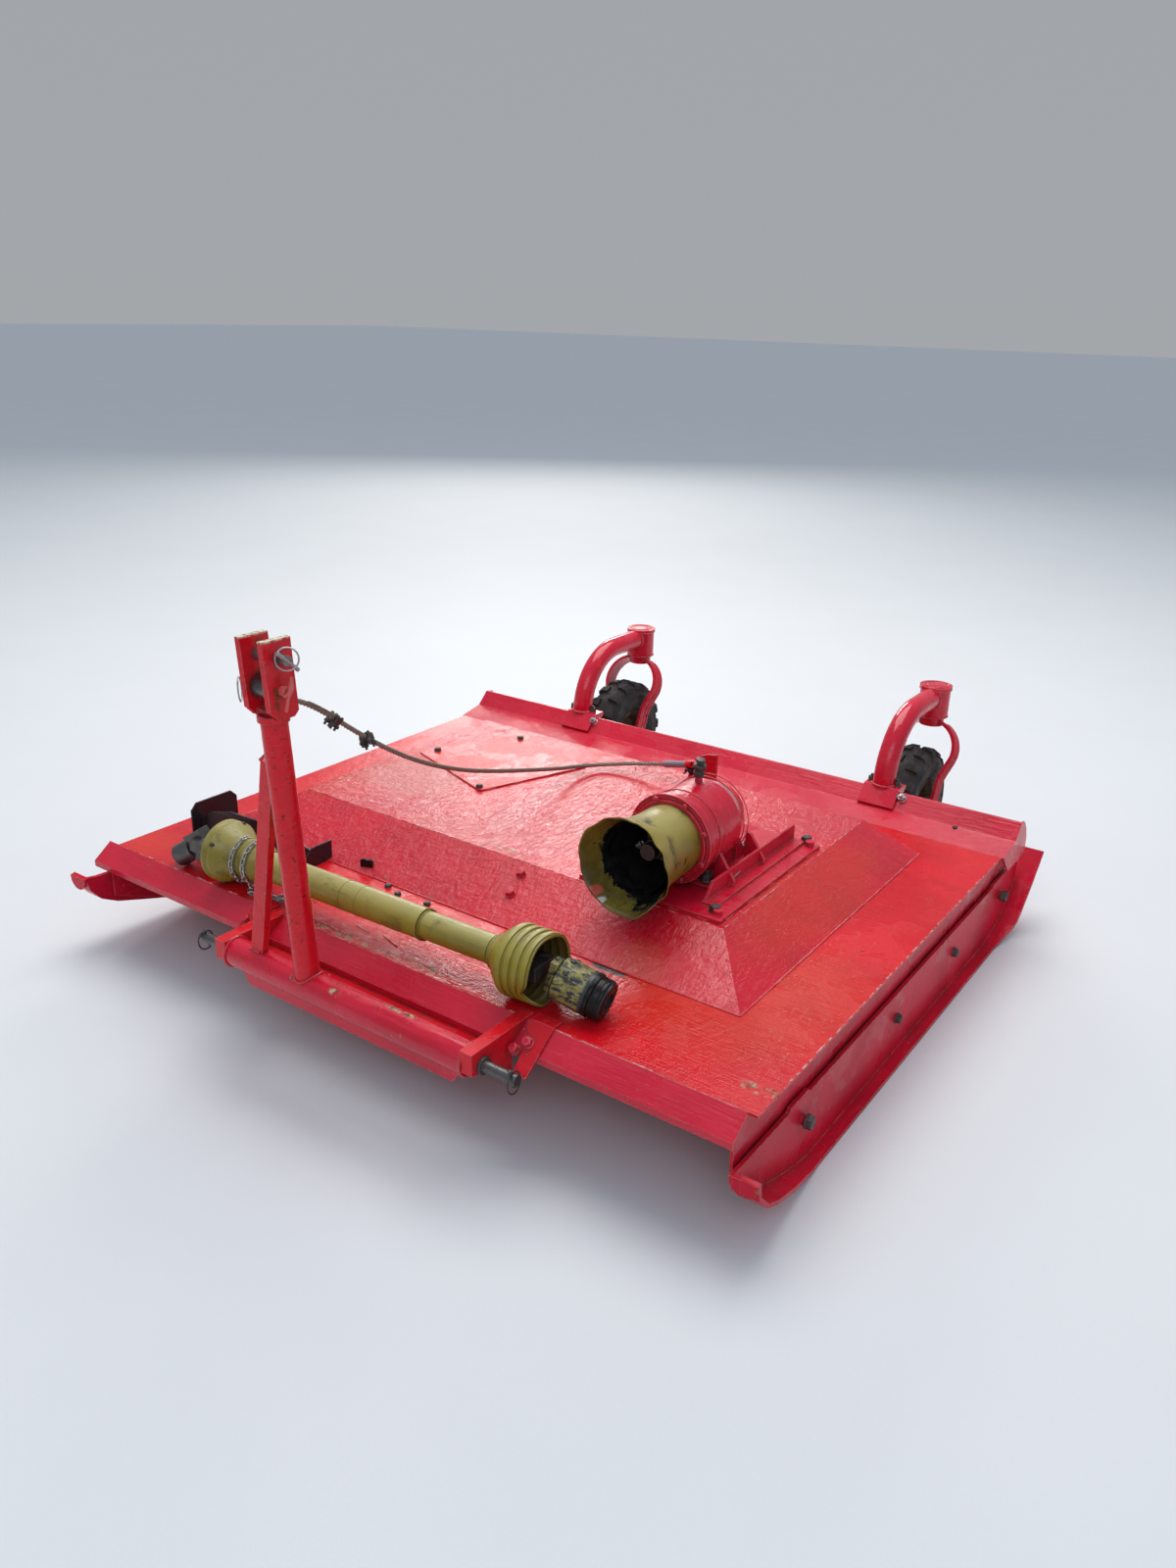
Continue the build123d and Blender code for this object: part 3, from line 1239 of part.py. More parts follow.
# Black shield behind the drive shaft: two upright panels with an arched web between
left_panel = slab_x(
    [
        (SHIELD_LEFT_FRONT, DECK_TOP),
        (SHIELD_LEFT_FRONT, SHIELD_LEFT_TOP - SHIELD_CORNER),
        (SHIELD_LEFT_FRONT + SHIELD_CORNER, SHIELD_LEFT_TOP),
        (SHIELD_LEFT_REAR - SHIELD_CORNER, SHIELD_LEFT_TOP),
        (SHIELD_LEFT_REAR, SHIELD_LEFT_TOP - SHIELD_CORNER),
        (SHIELD_LEFT_REAR, SHIELD_LEFT_REAR_FOOT),
        (SHIELD_LEFT_REAR - 30, DECK_TOP),
    ],
    SHIELD_LEFT,
    SHIELD_LEFT + SHIELD_THICK,
)
right_panel = slab_x(
    [
        (SHIELD_RIGHT_FRONT, DECK_TOP),
        (SHIELD_RIGHT_FRONT, SHIELD_RIGHT_TOP - SHIELD_CORNER),
        (SHIELD_RIGHT_FRONT + SHIELD_CORNER, SHIELD_RIGHT_TOP),
        (SHIELD_RIGHT_REAR, SHIELD_RIGHT_TOP),
        (SHIELD_RIGHT_REAR, DECK_TOP),
    ],
    SHIELD_RIGHT - SHIELD_THICK,
    SHIELD_RIGHT,
)
arch_outline = [(SHIELD_LEFT, DECK_TOP)] + SHIELD_ARCH + [(SHIELD_RIGHT, DECK_TOP)]
arch_front = SHIELD_LEFT_FRONT
arch_face = make_face(Polyline(*[(x, arch_front, z) for x, z in arch_outline], close=True))
arch = extrude(arch_face, amount=SHIELD_RIGHT_REAR - arch_front, dir=(0, 1, 0))
web_strip = slab_z(
    [
        (SHIELD_LEFT, SHIELD_WEB_LEFT_Y),
        (SHIELD_RIGHT, SHIELD_WEB_RIGHT_Y),
        (SHIELD_RIGHT, SHIELD_WEB_RIGHT_Y + SHIELD_THICK),
        (SHIELD_LEFT, SHIELD_WEB_LEFT_Y + SHIELD_THICK),
    ],
    DECK_TOP,
    SHIELD_LEFT_TOP,
)
parts["deck_shield"] = left_panel + right_panel + (web_strip & arch) - hump_outer

# Bracket for the stay cable, on the rear edge of the hump
bracket_arc = []
for i in range(6):
    turn = math.radians(18 * i)
    bracket_arc.append(
        (
            BRACKET_RIGHT - (BRACKET_RIGHT - BRACKET_LEFT) * math.cos(turn),
            HUMP_TOP + BRACKET_LOW_HEIGHT + (BRACKET_HEIGHT - BRACKET_LOW_HEIGHT) * math.sin(turn),
        )
    )
bracket_outline = [(BRACKET_LEFT, HUMP_TOP)] + bracket_arc + [(BRACKET_RIGHT, HUMP_TOP)]
bracket_front = BRACKET_Y - BRACKET_THICK
bracket_face = make_face(Polyline(*[(x, bracket_front, z) for x, z in bracket_outline], close=True))
bracket = extrude(bracket_face, amount=BRACKET_THICK, dir=(0, 1, 0))
bracket += block(
    BRACKET_LEFT,
    BRACKET_RIGHT,
    BRACKET_Y - BRACKET_FOOT,
    BRACKET_Y,
    HUMP_TOP,
    HUMP_TOP + BRACKET_THICK,
)


# Stay cable: straight runs joined by tangent arcs
def cable_path(points):
    runs = [(Vector(b) - Vector(a)).length for a, b in zip(points, points[1:])]
    radii = []
    for i in range(1, len(points) - 1):
        before = Vector(points[i]) - Vector(points[i - 1])
        after = Vector(points[i + 1]) - Vector(points[i])
        turn = math.radians(before.get_angle(after))
        radii.append(0.45 * min(runs[i - 1], runs[i]) / math.tan(turn / 2))
    print("cable runs", [round(r) for r in runs])
    print("cable radii", [round(r) for r in radii])
    return FilletPolyline(*points, radius=radii)


cable_line = cable_path(CABLE_POINTS)
cable_start = Plane(origin=cable_line @ 0, z_dir=cable_line % 0)
cable = sweep(cable_start * Circle(CABLE_RADIUS), path=cable_line)
print("cable length", round(cable_line.length), "volume share",
      round(cable.volume / (math.pi * CABLE_RADIUS**2 * cable_line.length), 4))
parts["stay_cable"] = cable
sleeve_start = Vector(CABLE_POINTS[-1])
sleeve_way = (sleeve_start - Vector(CABLE_POINTS[-2])).normalized()
sleeve_end = sleeve_start + sleeve_way * SLEEVE_LENGTH
sleeve = strut(tuple(sleeve_start), tuple(sleeve_end), SLEEVE_RADIUS)
parts["cable_sleeve"] = sleeve
anchor_end = sleeve_end + sleeve_way * ANCHOR_LENGTH
parts["cable_bracket"] = bracket + strut(tuple(sleeve_end), tuple(anchor_end), ANCHOR_RADIUS)

# Move everything from the front rail to the middle of the machine, on the ground
solid_box = Compound([p for n, p in parts.items() if n != "stay_cable"]).bounding_box()
Y_MIDDLE = (solid_box.min.Y + solid_box.max.Y) / 2
print("box", solid_box.min, solid_box.max, "middle", Y_MIDDLE)

os.makedirs("parts", exist_ok=True)
for name, piece in parts.items():
    placed = Pos(0, -Y_MIDDLE, 0) * piece
    solids = placed.solids()
    export_step(solids[0] if len(solids) == 1 else Compound(solids), "parts/" + name + ".step")
print(len(parts), "nodes")
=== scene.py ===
"""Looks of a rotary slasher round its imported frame: metres, +X right, +Y rear, +Z up."""
import math
import random

import bmesh
import bpy
from mathutils import Matrix, Vector


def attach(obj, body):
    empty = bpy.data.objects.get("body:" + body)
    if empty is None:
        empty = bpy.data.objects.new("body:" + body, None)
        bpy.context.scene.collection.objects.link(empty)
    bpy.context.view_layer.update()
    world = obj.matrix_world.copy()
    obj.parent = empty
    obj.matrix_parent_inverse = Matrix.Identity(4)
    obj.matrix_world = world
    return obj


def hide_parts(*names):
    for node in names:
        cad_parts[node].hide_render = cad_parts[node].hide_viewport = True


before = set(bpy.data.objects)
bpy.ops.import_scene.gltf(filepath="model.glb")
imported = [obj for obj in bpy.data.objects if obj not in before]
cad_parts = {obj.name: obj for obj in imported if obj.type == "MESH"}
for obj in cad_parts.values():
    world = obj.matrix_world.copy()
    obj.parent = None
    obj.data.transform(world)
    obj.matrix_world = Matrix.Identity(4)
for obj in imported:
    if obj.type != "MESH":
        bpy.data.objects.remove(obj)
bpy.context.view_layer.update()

scene = bpy.context.scene
BODY = "mower_body"

# Places are in millimetres, with x and z as in the frame and y from the front rail
Y_MIDDLE = 0.78125
DECK_TOP, HUMP_TOP = 240, 310
TUBE_Y, TUBE_Z = -128, 211
CASTOR_X, PIVOT_Y = 485, 1686
CASTORS = (("castor_left", -CASTOR_X), ("castor_right", CASTOR_X))
GEAR = (365, 421)
RIGHT, FRONT, REAR, UP = (1, 0, 0), (0, -1, 0), (0, 1, 0), (0, 0, 1)


def at(x, y, z):
    """A point given in millimetres, with y from the front rail."""
    return Vector((x / 1000, y / 1000 - Y_MIDDLE, z / 1000))


# Camera at the photograph's angle
CAMERA_PLACE = (1.517, -2.25425, 1.439)
CAMERA_YAW, CAMERA_PITCH, CAMERA_ROLL = 34.77, -21.65, 1.5
FOCAL_PIXELS, LONG_SIDE_PIXELS, SENSOR = 1222.5, 1600.0, 36.0


def make_camera():
    data = bpy.data.cameras.new("camera")
    data.sensor_width = SENSOR
    data.lens = FOCAL_PIXELS / LONG_SIDE_PIXELS * SENSOR
    data.clip_start, data.clip_end = 0.05, 200.0
    camera = bpy.data.objects.new("camera", data)
    turn = (
        Matrix.Rotation(math.radians(CAMERA_YAW), 4, "Z")
        @ Matrix.Rotation(math.radians(90 + CAMERA_PITCH), 4, "X")
        @ Matrix.Rotation(math.radians(CAMERA_ROLL), 4, "Z")
    )
    camera.matrix_world = Matrix.Translation(CAMERA_PLACE) @ turn
    scene.collection.objects.link(camera)
    scene.camera = camera


make_camera()


# Mesh making


def places(*rows):
    return [at(*row) for row in rows]


def mm(*profile):
    """Points of a profile or an outline given in millimetres."""
    return [(a / 1000, b / 1000) for a, b in profile]


def mesh_object(name, bm, material):
    mesh = bpy.data.meshes.new(name)
    bm.to_mesh(mesh)
    bm.free()
    mesh.materials.append(material)
    obj = bpy.data.objects.new(name, mesh)
    scene.collection.objects.link(obj)
    return obj


def piece(name, bm, key, body=BODY, sharp=35.0):
    """An object made of bm, with the material of that key, that rides on body."""
    bmesh.ops.recalc_face_normals(bm, faces=bm.faces)
    obj = mesh_object(name, bm, MATERIALS[key])
    obj.data.shade_smooth()
    obj.data.set_sharp_from_angle(angle=math.radians(sharp))
    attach(obj, body)
    return obj


def facing(place, out, spin=0.0):
    """Matrix that puts +Z along out at place, turned by spin degrees about it."""
    return (
        Matrix.Translation(place)
        @ Vector(out).to_track_quat("Z", "Y").to_matrix().to_4x4()
        @ Matrix.Rotation(math.radians(spin), 4, "Z")
    )


def turns(count):
    """Angles in equal steps all round."""
    return [2 * math.pi * k / count for k in range(count)]


def skin(bm, rings, closed=False):
    """Faces between each ring of vertices and the next; a ring of one vertex is a pole."""
    segments = max(len(ring) for ring in rings)
    for low, high in zip(rings, rings[1:] + rings[:1] if closed else rings[1:]):
        for k in range(segments):
            n = (k + 1) % segments
            corners = [low[k % len(low)], low[n % len(low)], high[n % len(high)], high[k % len(high)]]
            corners = list(dict.fromkeys(corners))
            if len(corners) > 2:
                bm.faces.new(corners)


def cap(bm, rings):
    bm.faces.new(list(reversed(rings[0])))
    bm.faces.new(rings[-1])


def lathe(bm, profile, matrix, segments=32, closed=False, warp=None):
    """Turns (radius, height) points about +Z; warp moves a point given its angle and index."""
    rings = []
    for i, (radius, height) in enumerate(profile):
        if radius < 1e-7:
            rings.append([bm.verts.new(matrix @ Vector((0, 0, height)))])
            continue
        rings.append([])
        for a in turns(segments):
            point = Vector((radius * math.cos(a), radius * math.sin(a), height))
            rings[-1].append(bm.verts.new(matrix @ (warp(point, a, i) if warp else point)))
    skin(bm, rings, closed)


def prism(bm, outline, low, high, matrix, chamfer=0.0, inset=0.0):
    """A closed outline drawn up from low to high, its top edge chamfered by that height and inset."""
    levels = [(low, 1.0), (high - chamfer, 1.0), (high, 1.0 - inset)] if chamfer else [(low, 1.0), (high, 1.0)]
    rings = [[bm.verts.new(matrix @ Vector((x * s, y * s, z))) for x, y in outline] for z, s in levels]
    skin(bm, rings)
    cap(bm, rings)


def hexagon(across):
    r = across / math.sqrt(3)
    return [(r * math.cos(math.pi / 3 * k), r * math.sin(math.pi / 3 * k)) for k in range(6)]


THREAD_PITCH = 0.0012


def bolt(bm, place, out, across, height, spin, stud=0.0, washer=True):
    """A hexagon head on a washer; with stud it is a nut with its thread showing."""
    matrix = facing(place, out, spin)
    base = 0.0
    if washer:
        w = across * 0.62
        lathe(bm, [(0, -0.001), (w, -0.001), (w, 0.0014), (w * 0.95, 0.002), (0, 0.002)], matrix, 28)
        base = 0.0018
    prism(bm, hexagon(across), base - 0.0005, base + height, matrix, height * 0.22, 0.1)
    r = across * 0.27
    top = base + height
    if stud:
        steps = [(0, base + height * 0.7)]
        for k in range(int(stud / THREAD_PITCH)):
            z = top + k * THREAD_PITCH
            steps += [(r, z), (r * 0.88, z + THREAD_PITCH / 2)]
        steps += [(r * 0.8, top + stud), (0, top + stud)]
        lathe(bm, steps, matrix, 16)
    else:
        button = [(0, top - 0.001), (r * 1.25, top - 0.001), (r * 1.2, top + 0.0004), (0, top + 0.0007)]
        lathe(bm, button, matrix, 20)


def carried(points, closed=False):
    """A frame at each point of a line, carried along it without twisting."""
    count = len(points)
    frames = []
    side = None
    for i in range(count):
        before = points[(i - 1) % count] if closed or i > 0 else points[i]
        after = points[(i + 1) % count] if closed or i < count - 1 else points[i]
        way = (after - before).normalized()
        if side is None:
            side = way.orthogonal().normalized()
        side = (side - way * side.dot(way)).normalized()
        frames.append((points[i], side, way.cross(side)))
    return frames


def tube(bm, points, radius, segments=10, closed=False):
    """A round bar along points; radius is one number or one for each point."""
    rings = []
    for i, (centre, u, v) in enumerate(carried(points, closed)):
        r = radius[i] if isinstance(radius, (list, tuple)) else radius
        rings.append([bm.verts.new(centre + u * (r * math.cos(a)) + v * (r * math.sin(a))) for a in turns(segments)])
    skin(bm, rings, closed)
    if not closed:
        cap(bm, rings)


def circle(centre, axis, radius, steps=44):
    """Points round a circle about axis."""
    matrix = facing(centre, axis)
    return [matrix @ Vector((radius * math.cos(a), radius * math.sin(a), 0)) for a in turns(steps)]


def ring(bm, centre, axis, radius, thick, segments=8, steps=44):
    tube(bm, circle(centre, axis, radius, steps), thick, segments, True)


def smooth_line(points, steps=6):
    """Catmull-Rom points through the given ones."""
    line = []
    ends = [points[0] * 2 - points[1], *points, points[-1] * 2 - points[-2]]
    for i in range(1, len(ends) - 2):
        p0, p1, p2, p3 = ends[i - 1 : i + 3]
        for t in [k / steps for k in range(steps)]:
            square, cube = p0 * 2 - p1 * 5 + p2 * 4 - p3, p1 * 3 - p0 - p2 * 3 + p3
            line.append(0.5 * (p1 * 2 + (p2 - p0) * t + square * t * t + cube * t * t * t))
    line.append(points[-1])
    return line


def weld(bm, points, radius, seed, closed=False):
    """A weld bead with its ripples along a line of points."""
    rng = random.Random(seed)
    line = []
    pitch = radius * 0.7
    stretch = list(zip(points, points[1:] + points[:1] if closed else points[1:]))
    for a, b in stretch:
        count = max(1, int((b - a).length / pitch))
        line += [a.lerp(b, k / count) for k in range(count)]
    if not closed:
        line.append(points[-1])
    sizes = []
    for i, point in enumerate(line):
        line[i] = point + Vector([rng.uniform(-1, 1) * radius * 0.1 for _ in range(3)])
        sizes.append(radius * (0.86 + 0.2 * abs(math.sin(i * 1.1))) * rng.uniform(0.93, 1.07))
    tube(bm, line, sizes, 8, closed)


LYING = Matrix(((1, 0, 0, 0), (0, 0, -1, 0), (0, 1, 0, 0), (0, 0, 0, 1)))


def along_y(x, y, z):
    """Matrix for a lathe whose heights run forward from a place, angles going from right to up."""
    return Matrix.Translation(at(x, y, z)) @ LYING


def paint_inside(obj, key, start, way, least):
    """Gives a second material to the faces that look at the axis through start along way."""
    obj.data.materials.append(MATERIALS[key])
    for face in obj.data.polygons:
        from_axis = face.center - start
        away = from_axis - way * from_axis.dot(way)
        if face.normal.dot(away) < -least * away.length:
            face.material_index = 1


def dip(angle, middle, width):
    """1 at an angle in degrees falling smoothly to 0 at width either side."""
    away = abs((math.degrees(angle) - middle + 180) % 360 - 180) / width
    return 0.0 if away >= 1 else 0.5 + 0.5 * math.cos(math.pi * away)


# Materials


class Paint:
    """A material and short ways to add nodes to it. Coordinates are the object's own, in metres."""

    def __init__(self, name, roughness=0.5, metallic=0.0, coat=0.0, coat_roughness=0.1, specular=0.5):
        self.material = bpy.data.materials.new(name)
        self.material.use_nodes = True
        self.tree = self.material.node_tree
        self.tree.nodes.clear()
        looks = {"Roughness": roughness, "Metallic": metallic, "Coat Weight": coat, "Coat Roughness": coat_roughness,
                 "Specular IOR Level": specular}
        self.shader = self.add("ShaderNodeBsdfPrincipled", looks)
        self.add("ShaderNodeOutputMaterial", {0: self.shader.outputs[0]})
        self.place = self.add("ShaderNodeTexCoord").outputs["Object"]
        self.normal = self.add("ShaderNodeNewGeometry").outputs["Normal"]
        self.bevels = {}

    def add(self, kind, values=None, **settings):
        """A node with its settings; values go into its inputs by name or number."""
        node = self.tree.nodes.new(kind)
        for key, value in settings.items():
            setattr(node, key, value)
        for key, value in (values or {}).items():
            self.put(node.inputs[key], value)
        return node

    def put(self, socket, value):
        if isinstance(value, bpy.types.NodeSocket):
            self.tree.links.new(value, socket)
        elif isinstance(value, (tuple, list)) and len(value) == 3 and socket.type == "RGBA":
            socket.default_value = (*value, 1.0)
        else:
            socket.default_value = value

    def noise(self, scale, detail=3.0, rough=0.55, distort=0.0, stretch=(1, 1, 1), turn=(0, 0, 0), shift=(0, 0, 0)):
        where = self.add("ShaderNodeMapping", {
            "Vector": self.place, "Scale": stretch, "Rotation": [math.radians(t) for t in turn], "Location": shift,
        }, vector_type="POINT")
        return self.add("ShaderNodeTexNoise", {
            "Vector": where.outputs[0], "Scale": scale, "Detail": detail, "Roughness": rough, "Distortion": distort,
        }).outputs["Fac"]

    def span(self, value, low, high, out_low=0.0, out_high=1.0, smooth=True):
        """value brought from low..high to out_low..out_high."""
        return self.add("ShaderNodeMapRange", {
            "Value": value, "From Min": low, "From Max": high, "To Min": out_low, "To Max": out_high,
        }, interpolation_type="SMOOTHSTEP" if smooth else "LINEAR").outputs[0]

    def patch(self, scale, detail, low, high, rough=0.55, distort=0.0, out=(0.0, 1.0), **place):
        """Noise made into patches: out[0] where it is under low, out[1] over high."""
        return self.span(self.noise(scale, detail, rough, distort, **place), low, high, *out)

    def math(self, kind, *values, clamp=False):
        return self.add("ShaderNodeMath", dict(enumerate(values)), operation=kind, use_clamp=clamp).outputs[0]

    def times(self, a, b, clamp=False):
        return self.math("MULTIPLY", a, b, clamp=clamp)

    def scaled(self, a, factor, b):
        """a times factor, plus b."""
        return self.math("MULTIPLY_ADD", a, factor, b)

    def larger(self, a, b):
        return self.math("MAXIMUM", a, b)

    def vector(self, kind, a, b=(0, 0, 0)):
        return self.add("ShaderNodeVectorMath", {0: a, 1: b}, operation=kind).outputs

    def part(self, vector, index):
        return self.add("ShaderNodeSeparateXYZ", {0: vector}).outputs[index]

    def mix(self, amount, a, b):
        node = self.add("ShaderNodeMix", data_type="RGBA", blend_type="MIX")
        for key, value in (("Factor", amount), (6, a), (7, b)):
            self.put(node.inputs[key], value)
        return node.outputs[2]

    def layers(self, colour, *rows):
        """colour under layers of (mask, strength, colour)."""
        for mask, strength, tint in rows:
            colour = self.mix(mask if strength == 1 else self.times(mask, strength), colour, tint)
        return colour

    def rounded(self, width=0.002):
        """Normal with the edges rounded by width."""
        if width not in self.bevels:
            self.bevels[width] = self.add("ShaderNodeBevel", {"Radius": width}, samples=4).outputs[0]
        return self.bevels[width]

    def edges(self, width=0.002, low=0.02, high=0.25):
        """1 along edges and in corners nearer than width, else 0."""
        dot = self.vector("DOT_PRODUCT", self.rounded(width), self.normal)["Value"]
        return self.span(self.math("SUBTRACT", 1.0, dot), low, high)

    def hollows(self, distance=0.05, low=0.35, high=0.9):
        """1 in hollows and corners, 0 on open faces."""
        node = self.add("ShaderNodeAmbientOcclusion", {"Distance": distance}, samples=4, only_local=False)
        return self.span(node.outputs["AO"], low, high, 1.0, 0.0)

    def spot(self, centre, radii, soft=0.3, wobble=0.35, scale=18.0):
        """A ragged patch round centre: 1 inside, 0 outside."""
        away = self.vector("DIVIDE", self.vector("SUBTRACT", self.place, centre)[0], radii)[0]
        ragged = self.scaled(self.noise(scale, 4.0, 0.6), wobble * 2, -wobble)
        size = self.math("ADD", self.vector("LENGTH", away)["Value"], ragged)
        return self.span(size, 1.0 - soft, 1.0 + soft, 1.0, 0.0)

    def finish(self, colour, roughness, height, depth, metallic=None, soft=True):
        """Links the looks; height is a bump of that depth, with the edges rounded where soft."""
        bump = self.add("ShaderNodeBump", {"Strength": 1.0, "Distance": depth, "Height": height})
        if soft:
            self.put(bump.inputs["Normal"], self.rounded())
        looks = {"Base Color": colour, "Roughness": roughness, "Metallic": metallic, "Normal": bump.outputs[0],
                 "Coat Normal": bump.outputs[0]}
        for key, value in looks.items():
            if value is not None:
                self.put(self.shader.inputs[key], value)
        return self.material


# Red, deep red and faded red
WARM_REDS = ((0.74, 0.006, 0.009), (0.46, 0.003, 0.006), (0.8, 0.035, 0.026))
COOL_REDS = ((0.68, 0.007, 0.034), (0.41, 0.003, 0.017), (0.76, 0.04, 0.07))
RUST = (0.13, 0.045, 0.018)
PRIMER = (0.52, 0.4, 0.24)
GRIME = (0.055, 0.035, 0.024)
# Pale pink painted highlight laid along the sheet edges
EDGE_HIGHLIGHT_PALE = (0.8, 0.3, 0.3)
SPOT_KINDS = {
    # kind: what breaks it up (see Paint.patch), strength, colour, roughness; bare and cream get their colour below
    "rust": ((70, 5, 0.5, 0.58, 0.7), 1.0, RUST, 0.85),
    "bare": ((60, 6, 0.5, 0.54, 0.75), 1.0, None, 0.8),
    "cream": (None, 1.0, None, 0.7),
    "speck": ((110, 5, 0.6, 0.63, 0.72), 1.0, (0.05, 0.012, 0.01), None),
    "black": (None, 1.0, (0.012, 0.01, 0.01), 0.35),
    # orange: faded orange paint; over the hump's right slope also a painted warm cast of sunlight
    "orange": (None, 0.35, (0.62, 0.05, 0.008), None),
    # pale: dusty pale paint; on the split pin also a painted highlight
    "pale": (None, 0.55, (0.62, 0.2, 0.17), 0.42),
    "wet": (None, 1.0, None, 0.05),
}


def red_paint(name, streak, turn, chips, wet, dirt, lumps, ripple, deep, shift, cool=1.0, coat=0.22, specular=0.38,
              spots=()):
    """Brushed-on gloss red over old paint: streaks, lumps, chipped edges, rust and grime, with a pale pink painted
    highlight along the edges.

    streak stretches the brush marks and turn turns them about Z; shift moves the pattern; cool leads from
    WARM_REDS to COOL_REDS.
    spots are (kind, centre, radii), with the kinds of SPOT_KINDS."""
    p = Paint(name, coat=coat, coat_roughness=0.05, specular=specular)
    pairs = zip(WARM_REDS, COOL_REDS)
    red, red_deep, red_faded = (tuple(w + (c - w) * cool for w, c in zip(warm, cold)) for warm, cold in pairs)
    brush = {"stretch": streak, "turn": (0, 0, turn), "shift": shift}
    streaks = p.noise(4, 4, 0.6, 0.15, **brush)
    broken = p.patch(14, 5, 0.4, 0.62, 0.6, 0.0, (0.15, 0.85), shift=shift)
    worn = p.scaled(p.edges(), 0.2 * chips, p.noise(55, 6, 0.68, 0.4, shift=shift))
    chip = p.span(worn, 0.7 - 0.03 * chips, 0.72 - 0.03 * chips)
    chip_colour = p.mix(p.patch(90, 3, 0.42, 0.6), PRIMER, RUST)
    grime = p.times(p.hollows(0.03), p.patch(22, 4, 0.3, 0.62))
    grime = p.math("ADD", grime, p.patch(9, 6, 0.6, 0.8, 0.7, 0.6, (0.0, 0.45), shift=shift))
    colour = p.layers(
        red,
        (p.patch(5, 3, 0.35, 0.68, 0.55, 0.3, shift=shift), deep, red_deep),
        (p.span(streaks, 0.52, 0.72), 0.4, red_faded),
        (p.patch(30, 5, 0.54, 0.7, 0.65, 0.5, **brush), 0.3, red_deep),
        # painted highlight: a broken pale pink line along the edges
        (p.times(p.edges(low=0.015, high=0.1), broken), 1, EDGE_HIGHLIGHT_PALE),
        (p.span(worn, 0.66 - 0.03 * chips, 0.7 - 0.03 * chips), 0.45, red_deep),
        (p.times(grime, dirt, clamp=True), 1, GRIME),
        (chip, 1, chip_colour),
    )
    pool = p.patch(7, 4, 0.62 - 0.25 * wet, 0.7 - 0.25 * wet, 0.6, 0.8, shift=shift)
    rough = p.scaled(streaks, 0.08, p.span(pool, 0.0, 1.0, 0.3, 0.09, smooth=False))
    rough = p.larger(rough, p.times(p.larger(chip, p.times(grime, 0.6)), 0.75))
    for kind, centre, radii in spots:
        breaks, strength, tint, dullness = SPOT_KINDS[kind]
        mask = p.spot(centre, radii)
        if breaks:
            mask = p.times(mask, p.patch(*breaks))
        if kind == "bare":
            tint = chip_colour
        if kind == "cream":
            tint = p.mix(p.patch(120, 4, 0.5, 0.62), (0.72, 0.62, 0.44), (0.3, 0.12, 0.06))
        if tint is not None:
            colour = p.layers(colour, (mask, strength, tint))
        if dullness is not None:
            rough = p.mix(mask, rough, (dullness, dullness, dullness))
    height = p.scaled(p.noise(38, 3, 0.5, 0.2, shift=shift), 0.5 * lumps, p.times(streaks, 0.5))
    height = p.scaled(p.noise(140, 3, 0.6, shift=shift), 0.06 * lumps, height)
    if ripple:
        waves = {"turn": (0, 0, -30), "shift": shift}
        height = p.scaled(p.noise(13, 3, 0.62, 1.8, (1.5, 1, 1), **waves), ripple * 2.6, height)
        height = p.scaled(p.noise(36, 4, 0.62, 1.4, (3, 1, 1), **waves), ripple * 1.9, height)
    height = p.scaled(chip, -0.35, height)
    return p.finish(colour, rough, height, 0.0016)


def olive_plastic(name, base, pale, along, turn, dirt):
    """Aged yellow-green guard plastic with scuffs along it and grime; pale sets a painted highlight that makes faces
    turned up paler.
    """
    p = Paint(name, roughness=0.35)
    scuff = p.patch(6, 6, 0.6, 0.68, 0.7, 0.3, stretch=along, turn=(0, 0, turn))
    grime = p.times(p.patch(16, 6, 0.52, 0.7, 0.7, 0.4), dirt)
    grime = p.larger(grime, p.times(p.hollows(0.025, 0.3, 0.8), 0.7 * dirt))
    colour = p.layers(
        base,
        (p.patch(7, 3, 0.35, 0.65), 0.6, tuple(c * 0.55 for c in base)),
        # painted highlight: faces turned up are paler
        (p.span(p.part(p.normal, 2), 0.2, 1.0), pale, (0.5, 0.44, 0.17)),
        (scuff, 0.5, (0.1, 0.085, 0.03)),
        (grime, 1, (0.045, 0.036, 0.018)),
        (p.span(p.scaled(p.edges(), 0.25, p.noise(80, 4)), 0.72, 0.8), 0.6, (0.5, 0.47, 0.3)),
    )
    rough = p.scaled(p.noise(30, 4), 0.35, p.scaled(grime, 0.3, 0.18))
    return p.finish(colour, rough, p.scaled(scuff, -0.5, p.noise(60, 4)), 0.0006)


def guard_lining(name):
    """Inside of the gearbox guard: yellow at the rim, then thick black grease with ragged borders."""
    p = Paint(name, roughness=0.4)
    depth = p.span(p.part(p.place, 1), at(0, 330, 0).y, at(0, 420, 0).y)
    rightward = p.span(p.part(p.place, 0), at(300, 0, 0).x, at(430, 0, 0).x, 0.0, 0.36)
    ragged = p.scaled(p.noise(24, 6, 0.68, 0.7), 1.1, p.math("ADD", depth, rightward))
    dark = p.larger(p.span(ragged, 0.84, 0.92), p.times(p.patch(70, 5, 0.6, 0.64, 0.7, 0.5), 0.8))
    colour = p.layers(
        (0.24, 0.18, 0.022),
        (p.patch(9, 4, 0.35, 0.65), 1, (0.11, 0.08, 0.016)),
        (dark, 1, (0.008, 0.007, 0.007)),
        (p.spot(tuple(at(292, 325, 345)), (0.016, 0.02, 0.012), 0.2, 0.3, 40.0), 1, (0.55, 0.1, 0.06)),
        (p.spot(tuple(at(312, 322, 330)), (0.01, 0.02, 0.008), 0.2, 0.3, 40.0), 1, (0.65, 0.62, 0.55)),
    )
    return p.finish(colour, p.patch(45, 4, 0.35, 0.65, out=(0.18, 0.55)), p.scaled(dark, 0.8, p.noise(60, 5)), 0.0012)


